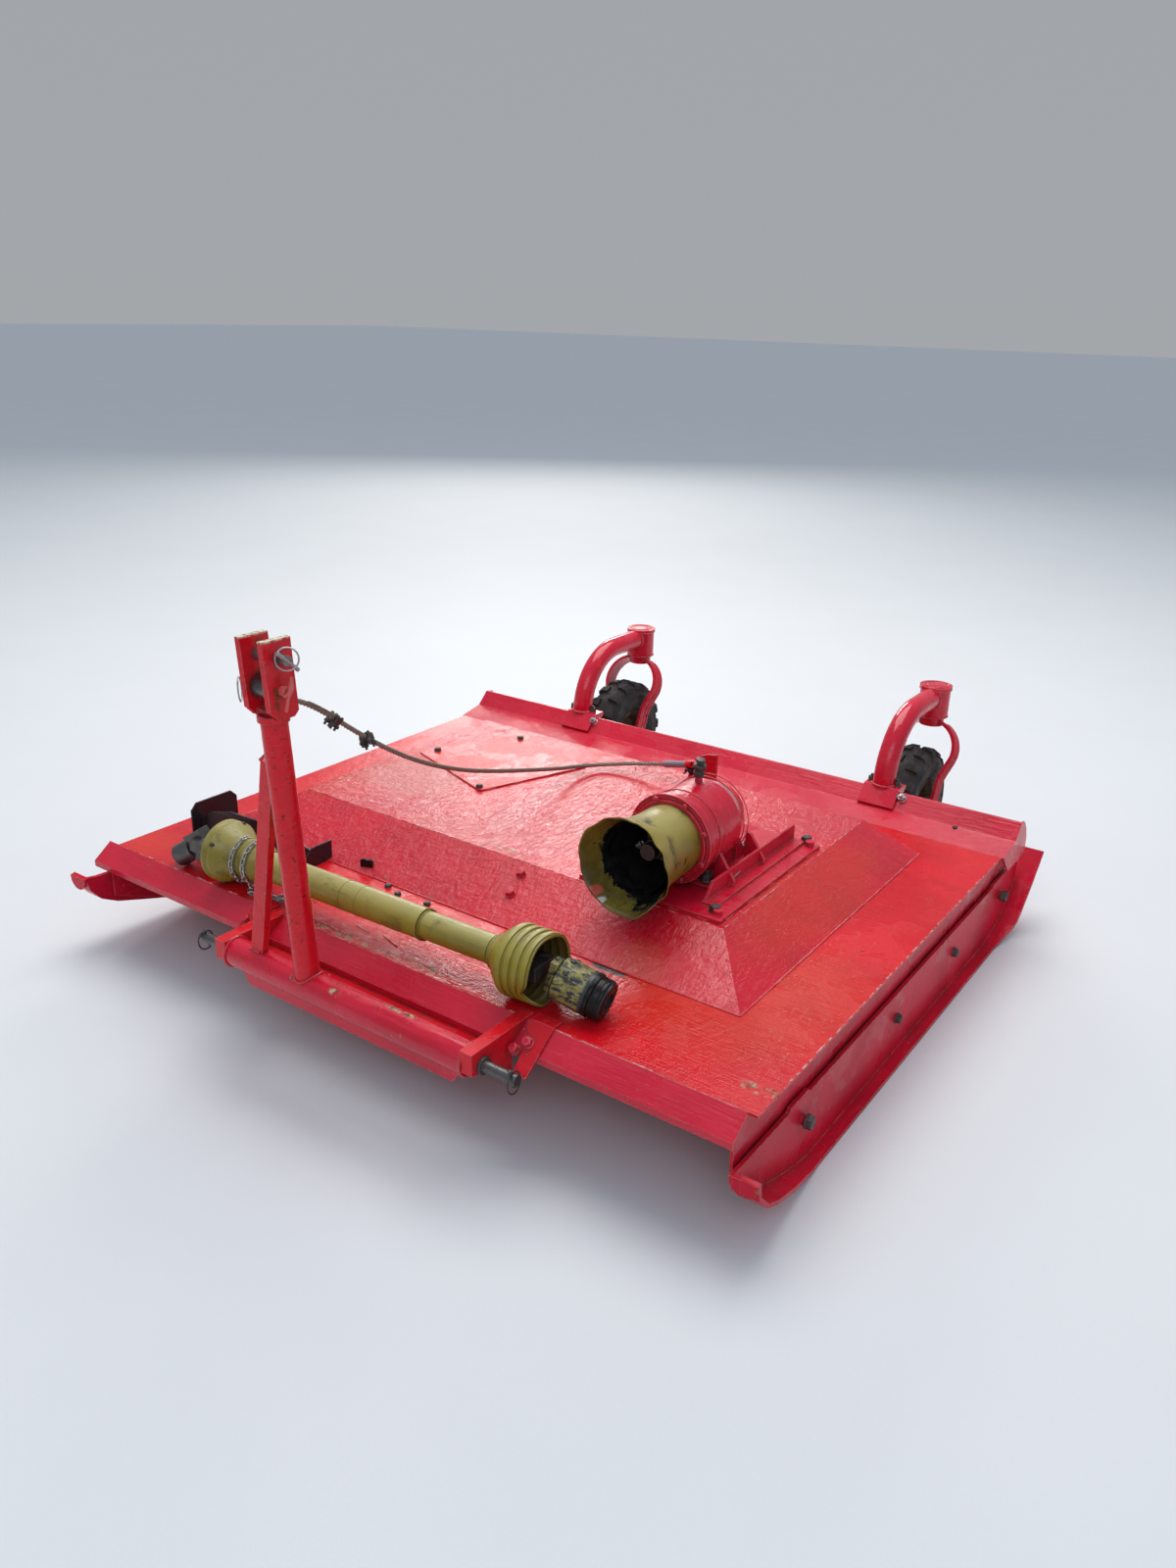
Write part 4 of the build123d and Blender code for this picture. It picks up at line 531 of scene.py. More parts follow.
def bare_steel(name, base=(0.3, 0.28, 0.26), rust=0.4, rough=0.35, grease=0.3):
    """Steel gone dull, with rust in patches and black grease in its hollows."""
    p = Paint(name, metallic=0.9)
    rusty = p.patch(45, 6, 0.66 - 0.3 * rust, 0.8 - 0.3 * rust, 0.7, 0.4)
    greasy = p.larger(p.times(p.hollows(0.012), 0.9), p.patch(28, 4, 0.7 - 0.3 * grease, 0.8 - 0.3 * grease))
    colour = p.layers(
        base,
        (p.noise(120), 1, tuple(c * 0.55 for c in base)),
        (p.edges(), 0.5, tuple(min(1, c * 1.7) for c in base)),
        (rusty, 1, p.mix(p.noise(150), (0.16, 0.055, 0.02), (0.06, 0.022, 0.012))),
        (greasy, grease, (0.012, 0.01, 0.009)),
    )
    roughness = p.scaled(rusty, 0.45, p.scaled(p.noise(60), 0.25, rough - 0.1))
    metal = p.span(p.larger(rusty, p.times(greasy, grease)), 0.0, 1.0, 0.9, 0.05, smooth=False)
    return p.finish(colour, roughness, p.noise(170, 4, 0.6), 0.0005, metal)


def rust_coat(name):
    """Underside of the machine: rust-brown scale with dried grass and soil."""
    p = Paint(name, roughness=0.85, specular=0.3)
    colour = p.layers(
        (0.12, 0.045, 0.022),
        (p.patch(9, 5, 0.35, 0.65, 0.6), 1, (0.055, 0.024, 0.014)),
        (p.patch(26, 6, 0.5, 0.62, 0.7, 0.5), 1, (0.09, 0.075, 0.045)),
        (p.patch(70, 4, 0.62, 0.68, 0.7), 1, (0.2, 0.08, 0.03)),
    )
    height = p.math("ADD", p.noise(40, 6, 0.7), p.times(p.noise(160), 0.4))
    return p.finish(colour, p.patch(20, 3, 0.3, 0.7, out=(0.65, 0.95)), height, 0.0022)


def blade_metal(name):
    """Blades: rust-brown with a ground, brighter cutting edge."""
    p = Paint(name, metallic=0.7)
    colour = p.mix(p.patch(30, 6, 0.4, 0.6, 0.7), (0.13, 0.06, 0.035), (0.22, 0.19, 0.17))
    colour = p.mix(p.edges(0.006), colour, (0.45, 0.43, 0.41))
    return p.finish(colour, p.patch(50, 4, 0.3, 0.7, out=(0.3, 0.7)), p.noise(90, 5), 0.0008)


def rubber(name):
    """Tyre rubber: black, dry, with grey dust on the lugs and soil between them."""
    p = Paint(name, roughness=0.75, specular=0.35)
    colour = p.layers(
        (0.014, 0.013, 0.014),
        (p.noise(35, 4), 1, (0.032, 0.03, 0.03)),
        (p.patch(18, 6, 0.45, 0.65, 0.7), 0.7, (0.075, 0.066, 0.055)),
        (p.hollows(0.02), 0.75, (0.055, 0.042, 0.03)),
        (p.edges(0.003), 0.4, (0.085, 0.08, 0.075)),
    )
    return p.finish(colour, p.patch(26, 4, 0.3, 0.7, out=(0.55, 0.9)), p.noise(220, 4, 0.6), 0.0007)


def black_sheet(name):
    """Black shield plate: satin black with scratches, rubbed edges and a wet bloom."""
    p = Paint(name, roughness=0.4)
    colour = p.layers(
        (0.011, 0.011, 0.013),
        (p.noise(14, 4), 1, (0.026, 0.025, 0.027)),
        (p.patch(9, 5, 0.68, 0.72, 0.7, 0.6, stretch=(1, 30, 6), turn=(20, 40, 10)), 0.6, (0.16, 0.15, 0.16)),
        (p.span(p.scaled(p.edges(), 0.3, p.noise(60, 4)), 0.7, 0.8), 1, (0.2, 0.13, 0.1)),
    )
    return p.finish(colour, p.patch(12, 4, 0.35, 0.65, 0.6, 0.5, (0.22, 0.5)), p.noise(45, 4), 0.001)


def clutch_paint(name, turn, start, way):
    """Clutch body: worn yellow over black, rubbed off in long stripes along its axis from start."""
    p = Paint(name, roughness=0.45)
    stripes = p.noise(19, 5, 0.65, 0.4, (1.3, 5, 5), (0, 0, turn))
    end = Vector(start).dot(Vector(way)) + 0.1
    body = p.span(p.vector("DOT_PRODUCT", p.place, way)["Value"], end, end + 0.006, 1.0, 0.0)
    paint = p.span(p.scaled(p.noise(45, 6, 0.72, 0.6), 0.35, p.times(stripes, 0.9)), 0.585, 0.615)
    paint = p.times(paint, body)
    pale = p.patch(30, 6, 0.58, 0.62, 0.7, 0.4, stretch=(1.3, 4, 4), turn=(0, 0, turn))
    colour = p.layers(
        (0.014, 0.014, 0.018),
        (p.noise(40), 1, (0.035, 0.034, 0.04)),
        (paint, 1, p.mix(p.patch(60, 5, 0.4, 0.65, 0.7), (0.3, 0.26, 0.055), (0.12, 0.1, 0.04))),
        (p.times(pale, body), 0.7, (0.42, 0.39, 0.26)),
    )
    return p.finish(colour, p.patch(50, 3, 0.3, 0.7, out=(0.3, 0.65)), p.math("ADD", paint, p.noise(90, 4)), 0.0007)


def plain_mix(name, blend, first, second, gloss, grain, depth, **looks):
    """Two colours mixed by blend, (scale, detail, rough) of a noise, with a fine grain."""
    p = Paint(name, **looks)
    return p.finish(p.mix(p.noise(*blend), first, second), p.patch(*gloss), p.noise(*grain), depth, soft=False)


def fleck_paint(name):
    """Pale pink raised lines: painted highlights along the sheets' edges, also used for the bare weld runs."""
    p = Paint(name, coat=0.2, specular=0.4)
    colour = p.mix(p.patch(60, 5, 0.42, 0.58, 0.7), (0.82, 0.4, 0.38), (0.64, 0.03, 0.04))
    return p.finish(colour, p.patch(40, 3, 0.3, 0.7, out=(0.15, 0.5)), p.noise(180, 4), 0.0008, soft=False)


def pale_floor(name):
    p = Paint(name, roughness=0.6, specular=0.2)
    colour = p.mix(p.noise(2), (0.74, 0.74, 0.735), (0.78, 0.78, 0.78))
    return p.finish(colour, None, p.noise(300, 2), 0.0003, soft=False)


def patches(*rows):
    """Patches for red_paint from (kind, x, y, z and the three radii in millimetres)."""
    return [(kind, tuple(at(x, y, z)), (rx / 1000, ry / 1000, rz / 1000)) for kind, x, y, z, rx, ry, rz in rows]


DECK_SPOTS = patches(
    ("bare", -90, 16, 240, 130, 9, 30),
    ("bare", 110, 24, 240, 50, 8, 30),
    ("bare", 812, 66, 240, 34, 14, 20),
    ("speck", -60, 120, 240, 480, 90, 30),
    ("black", 380, 234, 240, 30, 12, 20),
    ("black", 416, 232, 240, 20, 10, 20),
    ("orange", 640, 330, 240, 220, 240, 40),
    ("orange", -690, 500, 240, 80, 400, 40),
    ("orange", -790, 60, 240, 60, 60, 40),
    ("wet", -700, 400, 240, 120, 700, 40),
)
HUMP_SPOTS = patches(
    # orange over the hump's right slope: a painted warm cast of sunlight
    ("orange", 600, 700, 275, 90, 300, 80),
    ("orange", 440, 260, 260, 60, 60, 60),
    ("orange", -590, 560, 310, 60, 200, 20),
    ("pale", -480, 640, 310, 120, 150, 20),
    ("bare", -24, 427, 311, 34, 12, 6),
    ("wet", 0, 800, 310, 420, 300, 20),
    ("speck", 60, 250, 245, 500, 22, 12),
)
FRAME_SPOTS = patches(
    ("cream", -49, -162, 908, 12, 60, 5),
    ("cream", -106, -162, 908, 12, 60, 5),
    ("black", -99, -158, 812, 4, 22, 22),
    ("rust", -77, -150, 775, 24, 30, 8),
    ("rust", -106, -150, 862, 9, 34, 46),
    ("rust", -47, -166, 806, 9, 12, 34),
    ("speck", -70, -145, 500, 60, 60, 280),
)
TUBE_SPOTS = patches(
    ("speck", 60, -128, 243, 240, 20, 8),
    ("bare", 30, -146, 236, 16, 8, 6),
    ("bare", 180, -122, 241, 34, 9, 4),
)
# Paler pink over the whole split pin: partly its own pink paint, partly a painted highlight
SPLIT_PIN_PINK_AND_HIGHLIGHT = patches(("pale", -28, -157, 812, 60, 60, 60))
RED_PAINTS = {
    # key: streak, turn, chips, wet, dirt, lumps, ripple, deep, shift and the rest (see red_paint)
    "deck": ((3, 50, 3), 90, 0.9, 0.75, 0.12, 0.7, 0.26, 0.45, (0, 0, 0),
             {"cool": 0.2, "coat": 0.14, "specular": 0.26, "spots": DECK_SPOTS}),
    "hump": ((4, 40, 4), 62, 0.55, 0.85, 0.15, 1.0, 0.65, 0.5, (3, 1, 0),
             {"cool": 0.6, "coat": 0.28, "specular": 0.34, "spots": HUMP_SPOTS}),
    "cover": ((4, 30, 4), 20, 0.8, 0.55, 0.35, 0.8, 0.5, 0.4, (5, 2, 0), {"cool": 0.0}),
    "rail": ((3, 70, 3), 90, 1.15, 0.5, 0.25, 0.8, 0.0, 0.4, (1, 4, 0), {}),
    "rear": ((3, 70, 3), 90, 0.8, 0.6, 0.2, 0.6, 0.0, 0.35, (2, 7, 0), {}),
    "side": ((3, 3, 40), 0, 0.8, 0.35, 0.6, 0.8, 0.0, 0.7, (8, 3, 0), {"coat": 0.08, "specular": 0.2}),
    "skid": ((30, 3, 3), 0, 1.2, 0.35, 0.5, 0.8, 0.0, 0.6, (4, 9, 0), {"coat": 0.06, "specular": 0.16}),
    "frame": ((3, 3, 30), 0, 0.85, 0.5, 0.75, 0.6, 0.0, 0.5, (6, 6, 0),
              {"cool": 0.35, "coat": 0.14, "specular": 0.26, "spots": FRAME_SPOTS}),
    "cross": ((3, 40, 40), 0, 0.9, 0.5, 0.3, 0.6, 0.0, 0.5, (6, 1, 0), {"spots": TUBE_SPOTS}),
    "castor": ((8, 8, 8), 0, 0.6, 0.6, 0.3, 0.6, 0.0, 0.35, (9, 9, 0), {}),
    "gear": ((10, 10, 10), 0, 0.5, 0.7, 0.5, 1.3, 0.35, 0.45, (7, 7, 0), {}),
    "plate": ((3, 40, 3), 0, 0.9, 0.5, 0.4, 0.8, 0.0, 0.4, (3, 3, 0), {}),
    "split_pin": ((8, 8, 8), 0, 0.4, 0.3, 0.1, 0.6, 0.0, 0.0, (0, 0, 0), {"cool": -0.6, "spots": SPLIT_PIN_PINK_AND_HIGHLIGHT}),
}
SHAFT_TURN = -1.2
CLUTCH_AT = at(353.78, 60.44, 311.39)
CLUTCH_WAY = (at(491.98, 82.76, 277.64) - CLUTCH_AT).normalized()

MATERIALS = {key: red_paint(key + "_red", *row, **rest) for key, (*row, rest) in RED_PAINTS.items()}
MATERIALS |= {
    # the third number of each olive_plastic is the strength of its painted highlight on faces turned up
    "olive": olive_plastic("guard_olive", (0.33, 0.255, 0.016), 0.35, (2, 20, 20), 0, 0.6),
    "olive_tube": olive_plastic("tube_olive", (0.32, 0.25, 0.02), 0.55, (1.5, 25, 25), SHAFT_TURN, 0.5),
    # darker copy of the guard plastic for its inside: painted shade, with more grime
    "olive_inner_shaded": olive_plastic("guard_inside", (0.17, 0.115, 0.022), 0.1, (2, 20, 20), 0, 0.9),
    "guard": olive_plastic("gear_guard_outside", (0.28, 0.205, 0.016), 0.45, (6, 2, 6), 0, 1.0),
    "guard_in": guard_lining("gear_guard_inside"),
    "steel": bare_steel("worn_steel"),
    "bolt": bare_steel("bolt_dark", (0.13, 0.12, 0.115), 0.5, 0.45, 0.5),
    "pin": bare_steel("pin_dark", (0.19, 0.18, 0.175), 0.35, 0.35, 0.45),
    "zinc": bare_steel("zinc_bright", (0.55, 0.55, 0.54), 0.1, 0.3, 0.15),
    "roller": bare_steel("roller_steel", (0.2, 0.185, 0.18), 0.25, 0.22, 0.6),
    "yoke": bare_steel("yoke_steel", (0.16, 0.15, 0.145), 0.35, 0.4, 0.5),
    "rust": rust_coat("underside_scale"),
    "blade": blade_metal("blade_edge"),
    "rubber": rubber("tyre_black"),
    "sheet": black_sheet("shield_black"),
    "clutch": clutch_paint("clutch_worn", SHAFT_TURN - 8, CLUTCH_AT, CLUTCH_WAY),
    "grease": plain_mix("grease", (60, 5), (0.004, 0.004, 0.004), (0.014, 0.012, 0.01),
                        (40, 4, 0.35, 0.65, 0.55, 0.0, (0.12, 0.5)), (70, 5, 0.6), 0.0015, specular=0.22),
    "wire": plain_mix("wire_rope", (60, 5, 0.7), (0.15, 0.105, 0.075), (0.36, 0.3, 0.25),
                      (90, 3, 0.3, 0.7, 0.55, 0.0, (0.35, 0.7)), (400, 3), 0.0004, metallic=0.4),
    "sleeve": plain_mix("sleeve_grey", (50, 4), (0.17, 0.15, 0.18), (0.3, 0.27, 0.3),
                        (40, 3, 0.3, 0.7, 0.55, 0.0, (0.35, 0.6)), (120, 4), 0.0004),
    "fleck": fleck_paint("fleck_pale"),
}


def sides(*names):
    """Each name with _left and with _right."""
    return tuple(name + end for name in names for end in ("_left", "_right"))


NODE_MATERIALS = {
    "deck": ("deck_plate",),
    "hump": ("drive_case",),
    "cover": ("drive_cover",),
    "rail": ("front_rail",),
    "rear": ("rear_rail",),
    "side": sides("side_plate"),
    "skid": sides("skid"),
    "frame": ("mast_tube", "mast_brace", "top_clevis", "hitch_rear_bar", "cable_bracket",
              *sides("hitch_arm", "hitch_strap")),
    "cross": ("cross_tube",),
    "castor": sides("castor_arm", "castor_fork"),
    "gear": ("gearbox_housing",),
    "plate": ("gearbox_plate",),
    "olive": ("gearbox_guard", "shaft_cone_guard", "shaft_bell_guard"),
    "olive_tube": ("shaft_tube_outer", "shaft_tube_inner"),
    "steel": ("top_link_pin", *sides("castor_axle")),
    "pin": sides("lower_pin"),
    "zinc": ("shaft_chain",),
    "roller": ("mast_roller",),
    "yoke": ("input_shaft", *sides("shaft_yoke")),
    "rust": ("drive_case_floor", *sides("rotor", "castor_rim")),
    "blade": ("blade_left_a", "blade_left_b", "blade_right_a", "blade_right_b"),
    "rubber": sides("castor_tyre"),
    "sheet": ("deck_shield",),
    "clutch": ("shaft_clutch",),
    "wire": ("stay_cable",),
    "sleeve": ("cable_sleeve",),
}


def dress_nodes():
    left = set(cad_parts)
    for key, names in NODE_MATERIALS.items():
        for name in names:
            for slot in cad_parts[name].material_slots:
                slot.material = MATERIALS[key]
            left.discard(name)
    if left:
        raise ValueError("no material for " + ", ".join(sorted(left)))


dress_nodes()


# Stay cable: wire rope laid along the same points as its solid
CABLE_RADIUS = 0.0055
CABLE_START = (-79.6, -112.0, 779.0)
CABLE_ROUTE = [
    CABLE_START, (-80, -90, 774), (-86, -24, 733), (-96, 52, 676), (-104, 150, 607), (-112, 262, 542),
    (-124, 392, 484), (-137, 532, 436), (-150, 676, 393), (-165, 812, 352), (-168, 912, 329), (-140, 974, 322),
    (-84, 1003, 330), (-20, 1014, 341), (28, 1021, 350),
]
CABLE_STEP, CABLE_LAY = 0.0025, 0.03
STRAND_RADIUS, STRAND_OUT = 0.0025, 0.0031
TAIL_RADIUS, TAIL_OUT, TAIL_FRAMES = 0.0024, 0.0056, slice(18, 62)


def nurbs(name, points, radius):
    """A smooth curve whose control points are the route's own."""
    data = bpy.data.curves.new(name, "CURVE")
    data.dimensions = "3D"
    spline = data.splines.new("NURBS")
    spline.points.add(len(points) - 1)
    for target, point in zip(spline.points, points):
        target.co = (*at(*point), 1.0)
    spline.order_u = 3
    spline.use_endpoint_u = True
    spline.resolution_u = 12
    data.bevel_depth = radius
    data.bevel_resolution = 3
    data.use_fill_caps = True
    obj = bpy.data.objects.new(name, data)
    scene.collection.objects.link(obj)
    return obj


def curve_points(obj):
    """Points along a curve's own line, read from it with no bevel."""
    copy = obj.copy()
    copy.data = obj.data.copy()
    copy.data.bevel_depth = 0.0
    copy.data.use_fill_caps = False
    scene.collection.objects.link(copy)
    bpy.context.view_layer.update()
    mesh = bpy.data.meshes.new_from_object(copy)
    line = [v.co.copy() for v in mesh.vertices]
    bpy.data.objects.remove(copy)
    bpy.data.meshes.remove(mesh)
    return line


def evenly(line, step):
    """The same line with points a step apart."""
    lengths = [0.0]
    for a, b in zip(line, line[1:]):
        lengths.append(lengths[-1] + (b - a).length)
    count = max(2, int(lengths[-1] / step))
    out, k = [], 0
    for i in range(count + 1):
        want = lengths[-1] * i / count
        while k < len(line) - 2 and lengths[k + 1] < want:
            k += 1
        part = (want - lengths[k]) / max(1e-9, lengths[k + 1] - lengths[k])
        out.append(line[k].lerp(line[k + 1], min(1.0, part)))
    return out


def make_cable():
    """Three strands round a core, with the rope's doubled end beside them as far as the second clamp."""
    core = nurbs("stay_cable_core", CABLE_ROUTE, CABLE_RADIUS * 0.72)
    core.data.materials.append(MATERIALS["wire"])
    frames = carried(evenly(curve_points(core), CABLE_STEP))
    bm = bmesh.new()
    for strand in range(3):
        path = []
        for i, (centre, u, v) in enumerate(frames):
            a = 2 * math.pi * (strand / 3 + i * CABLE_STEP / CABLE_LAY)
            path.append(centre + u * (STRAND_OUT * math.cos(a)) + v * (STRAND_OUT * math.sin(a)))
        tube(bm, path, STRAND_RADIUS, 6)
    tube(bm, [centre + u * TAIL_OUT for centre, u, _ in frames[TAIL_FRAMES]], TAIL_RADIUS, 8)
    strands = piece("stay_cable_strands", bm, "wire")
    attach(core, BODY)
    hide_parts("stay_cable")
    return frames


cable_frames = make_cable()


# Bolts, nuts and studs
SLOPE_OUT, RAIL_OUT, ARM_OUT = (0, -0.4, 0.917), (0, -0.594, 0.804), (0, -0.7, 0.714)
TOP_BOLTS = (
    # height, across, head, spin added to x, stud, places
    (318, 0.021, 0.012, 17, 0.0, ((507, 441), (503, 868), (223, 441), (227, 868))),
    (331, 0.024, 0.014, 8, 0.008, ((430, 714), (435, 531), (300, 714), (296, 531))),
    (314, 0.015, 0.006, 0, 0.0, ((-300, 666), (-560, 800), (-445, 1015))),
    (DECK_TOP, 0.013, 0.005, 0, 0.0, ((-151, 213), (-69, 218), (-194, 228))),
)


def make_bolts():
    bm = bmesh.new()
    for z, across, height, spin, stud, spots in TOP_BOLTS:
        for x, y in spots:
            bolt(bm, at(x, y, z), UP, across, height, spin + x, stud)
    for side in (-1, 1):
        for y, z in ((200, 110), (1296, 117)):
            bolt(bm, at(side * 847, y, z), (side, 0, 0), 0.024, 0.01, 11)
        for y, z in ((640, 96), (980, 98)):
            bolt(bm, at(side * 838, y, z), (side, 0, 0), 0.019, 0.009, 21)
    for _, x in CASTORS:
        for dx in (-34, 34):
            bolt(bm, at(x + dx, 1376, 302), UP, 0.018, 0.01, dx, 0.006)
    piece("dark_bolts", bm, "bolt")

    bm = bmesh.new()
    for x, y, z in ((68.8, 369, 296.6), (80.8, 316.8, 273.8)):
        bolt(bm, at(x, y, z), SLOPE_OUT, 0.02, 0.01, 12)
    for k in range(8):
        a = math.radians(22.5 + 45 * k)
        place = at(GEAR[0] + 88 * math.cos(a), 488, GEAR[1] + 88 * math.sin(a))
        bolt(bm, place, FRONT, 0.013, 0.008, 30 * k, washer=False)
    for x, y, z in ((386, -52, 206), (405, -36, 218), (-331, -52, 206), (-350, -36, 218)):
        bolt(bm, at(x, y, z), RAIL_OUT, 0.018, 0.01, x)
    piece("painted_bolts", bm, "gear")

    bm = bmesh.new()
    for x, z in ((310, 404.5), (389, 369)):
        bolt(bm, at(x, 463, z), FRONT, 0.015, 0.009, x, 0.006)
    for _, x in CASTORS:
        bolt(bm, at(x + 62, 1345, 282.5), ARM_OUT, 0.019, 0.011, 4, 0.007)
    piece("zinc_bolts", bm, "zinc")

    for body, x in CASTORS:
        bm = bmesh.new()
        for side in (-1, 1):
            bolt(bm, at(x + side * 83, 1586, 170), (side, 0, 0), 0.024, 0.012, 10, 0.006)
        piece(body + "_nuts", bm, "zinc", body)


make_bolts()


# Gearbox: flange and barrel lines, breather, rib, wire and the guard with its torn mouth
GUARD_BACK_Y = 488
GUARD_PROFILE = mm(
    (44, 0), (77, 0), (77, 40), (77.5, 60), (79.5, 82), (83.5, 106), (90, 132), (97, 153), (103.5, 168), (106.5, 175),
    (106.8, 176), (105.2, 176.2), (103.5, 175), (100.2, 166.5), (94, 151.5), (86.5, 130.5), (80.2, 105), (76.2, 81),
    (74.2, 59.5), (73.8, 40), (73.8, 5), (44, 5),
)
MOUTH_DEPTH, WORN_FROM = 0.176, 0.08
# metres outward or back, then the middle and half the width in degrees
MOUTH_DENTS = ((-0.0065, 38, 34), (-0.012, -42, 30), (0.003, -78, 26), (-0.004, 120, 40))
MOUTH_TEARS = ((-0.01, 30, 16), (-0.016, -38, 22), (-0.004, 75, 9))
GREASE_BACK = 0.004
GREASE_WAVES = ((1.0, 3), (0.7, 5), (0.5, 9), (0.4, 14))


def dips(angle, rows):
    return sum(size * dip(angle, middle, width) for size, middle, width in rows)


def guard_shape(point, angle, index):
    """The mouth isn't round any more: dented at its right, torn below, wavy all round."""
    share = max(0.0, (point.z - WORN_FROM) / (MOUTH_DEPTH - WORN_FROM))
    push = dips(angle, MOUTH_DENTS) + 0.0012 * math.sin(angle * 7 + 1) + 0.0008 * math.sin(angle * 13)
    back = dips(angle, MOUTH_TEARS) + 0.003 * math.sin(angle * 5)
    radius = math.hypot(point.x, point.y)
    scale = (radius + push * share ** 1.4) / radius
    return Vector((point.x * scale, point.y * scale, min(point.z + back * share ** 3, MOUTH_DEPTH)))


def make_guard():
    place = along_y(GEAR[0], GUARD_BACK_Y, GEAR[1])
    bm = bmesh.new()
    lathe(bm, GUARD_PROFILE, place, 96, True, guard_shape)
    guard = piece("gearbox_guard_worn", bm, "guard", sharp=60)
    paint_inside(guard, "guard_in", at(GEAR[0], 0, GEAR[1]), Vector(REAR), 0.2)
    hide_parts("gearbox_guard")

    bm = bmesh.new()
    rng = random.Random(5)
    profile = mm((52, 4), (72.5, 4), (72.5, 30), (73, 62), (74.5, 88), (71, 80), (64, 50), (55, 22))
    phases = [rng.uniform(0, 6.28) for _ in GREASE_WAVES]

    def lumps(point, angle, index):
        """Grease lies thick and uneven on the inside; its back and outside stay on the guard."""
        if index in (1, 2, 3):
            return point
        wave = sum(size * math.sin(angle * count + phase) for (size, count), phase in zip(GREASE_WAVES, phases))
        thick = 1.0 - 0.035 * wave * (1.0 if index > 3 else 0.4)
        reach = 1.0 + 0.16 * wave + 0.35 * dip(angle, -60, 80)
        return Vector((point.x * thick, point.y * thick, GREASE_BACK + (point.z - GREASE_BACK) * reach))

    lathe(bm, profile, place, 72, True, lumps)
    piece("guard_grease", bm, "grease", sharp=80)

    bm = bmesh.new()
    collar = mm((17.6, 0), (30, 0), (34, 6), (33, 20), (24, 34), (17.6, 38))
    lathe(bm, collar, along_y(GEAR[0], 484, GEAR[1]), 40, True)
    lip = mm((17.6, 0), (21.5, 1), (22.5, 8), (20.5, 14), (17.6, 15))
    lathe(bm, lip, along_y(GEAR[0], 436, GEAR[1]), 32, True)
    piece("shaft_seal", bm, "yoke")


FOOT_TOP = 331


def make_gearbox_trim():
    bm = bmesh.new()
    x, z = GEAR
    lines = ((487.6, 97.2, 1.1), (487.4, 91, 0.8), (503.5, 92.6, 1.4), (540, 91.6, 1.3), (640, 91.6, 1.5),
             (660, 91.4, 1.2))
    for y, radius, thick in lines:
        ring(bm, at(x, y, z), REAR, radius / 1000, thick / 1000, 6, 72)
    lathe(bm, mm((78, 0), (85.5, 0), (86.5, 3), (85.5, 5.5), (78, 6)), along_y(x, 489, z), 72, True)
    # triangular ribs between barrel and foot
    rib = [(0, 0), (0.05, 0), (0.046, 0.008), (0.012, 0.056), (0, 0.06)]
    for y in (556, 690):
        for side in (1, -1):
            prism(bm, [(side * a, b) for a, b in rib], -0.004, 0.004, along_y(x + side * 74, y, FOOT_TOP))
    weld(bm, [at(x + sx, y, 321) for sx, y in ((84, 522), (84, 756), (-84, 756), (-84, 522))], 0.0035, 3, True)
    lathe(bm, mm((0, 0), (20, 0), (20, 4), (14, 10), (0, 10)), facing(at(x, 701, z), REAR), 24)
    piece("gearbox_trim", bm, "gear")

    bm = bmesh.new()
    breather = mm((0, 0), (12.5, 0), (12.5, 4), (10.8, 5), (10.8, 12), (13.5, 13), (14.5, 17), (13.5, 21), (8, 22),
                  (7.5, 27), (10.5, 28), (10, 34), (0, 37))
    lathe(bm, breather, facing(at(359, 606, 529.5), (0.1, -0.05, 1)), 22)
    prism(bm, hexagon(0.02), 0.0, 0.007, facing(at(359, 606, 523.5), UP))
    piece("breather_plug", bm, "bolt")

    bm = bmesh.new()
    bends = places((468, 735, 322), (474, 690, 333), (466, 640, 340), (476, 592, 336), (470, 548, 327),
                   (458, 520, 321))
    tube(bm, smooth_line(bends, 8), 0.0022, 8)
    piece("bent_wire", bm, "wire")


make_guard()
make_gearbox_trim()


# Drive shaft: bell guard with its torn mouth, clutch rings, seams on the tubes
SHAFT_ORIGIN = at(-690, 39, 308.84)
SHAFT_WAY = Vector((0.99979, 0.02053, 0.002436)).normalized()


def along_shaft(distance):
    """Matrix for a lathe whose heights run along the shaft, angles going from front to up."""
    forward = Vector((0, -1, 0))
    forward = (forward - SHAFT_WAY * forward.dot(SHAFT_WAY)).normalized()
    up = SHAFT_WAY.cross(forward) * -1
    turn = Matrix((forward, up, SHAFT_WAY)).transposed().to_4x4()
    return Matrix.Translation(SHAFT_ORIGIN + SHAFT_WAY * (distance / 1000)) @ turn


def outward(matrix, degrees):
    """Way out from a matrix's Z axis at an angle about it."""
    a = math.radians(degrees)
    return (matrix.to_3x3() @ Vector((math.cos(a), math.sin(a), 0))).normalized()


BELL_DEPTH, BELL_WORN_FROM = 0.114, 0.05
RIB_PITCH = 18.5
RIB_OUTER = ((70.6, 1.5), (71.0, 5), (71.0, 10), (70.4, 12.2), (67.2, 13.2), (66.8, 15.2), (67.4, 17.2))
RIB_INNER = ((67.6, 2), (68.0, 6), (68.0, 10), (65.0, 12.5), (64.2, 15), (65.0, 17.5))


def bell_shape(point, angle, index):
    share = max(0.0, (point.z - BELL_WORN_FROM) / (BELL_DEPTH - BELL_WORN_FROM))
    tear = dip(angle, -35, 38)
    radius = math.hypot(point.x, point.y)
    scale = (radius + 0.001 * math.sin(3 * angle) - 0.006 * tear * share) / radius
    lift = 0.0015 * math.sin(angle * 4) * share - 0.02 * tear * share ** 2
    return Vector((point.x * scale, point.y * scale, point.z + lift))


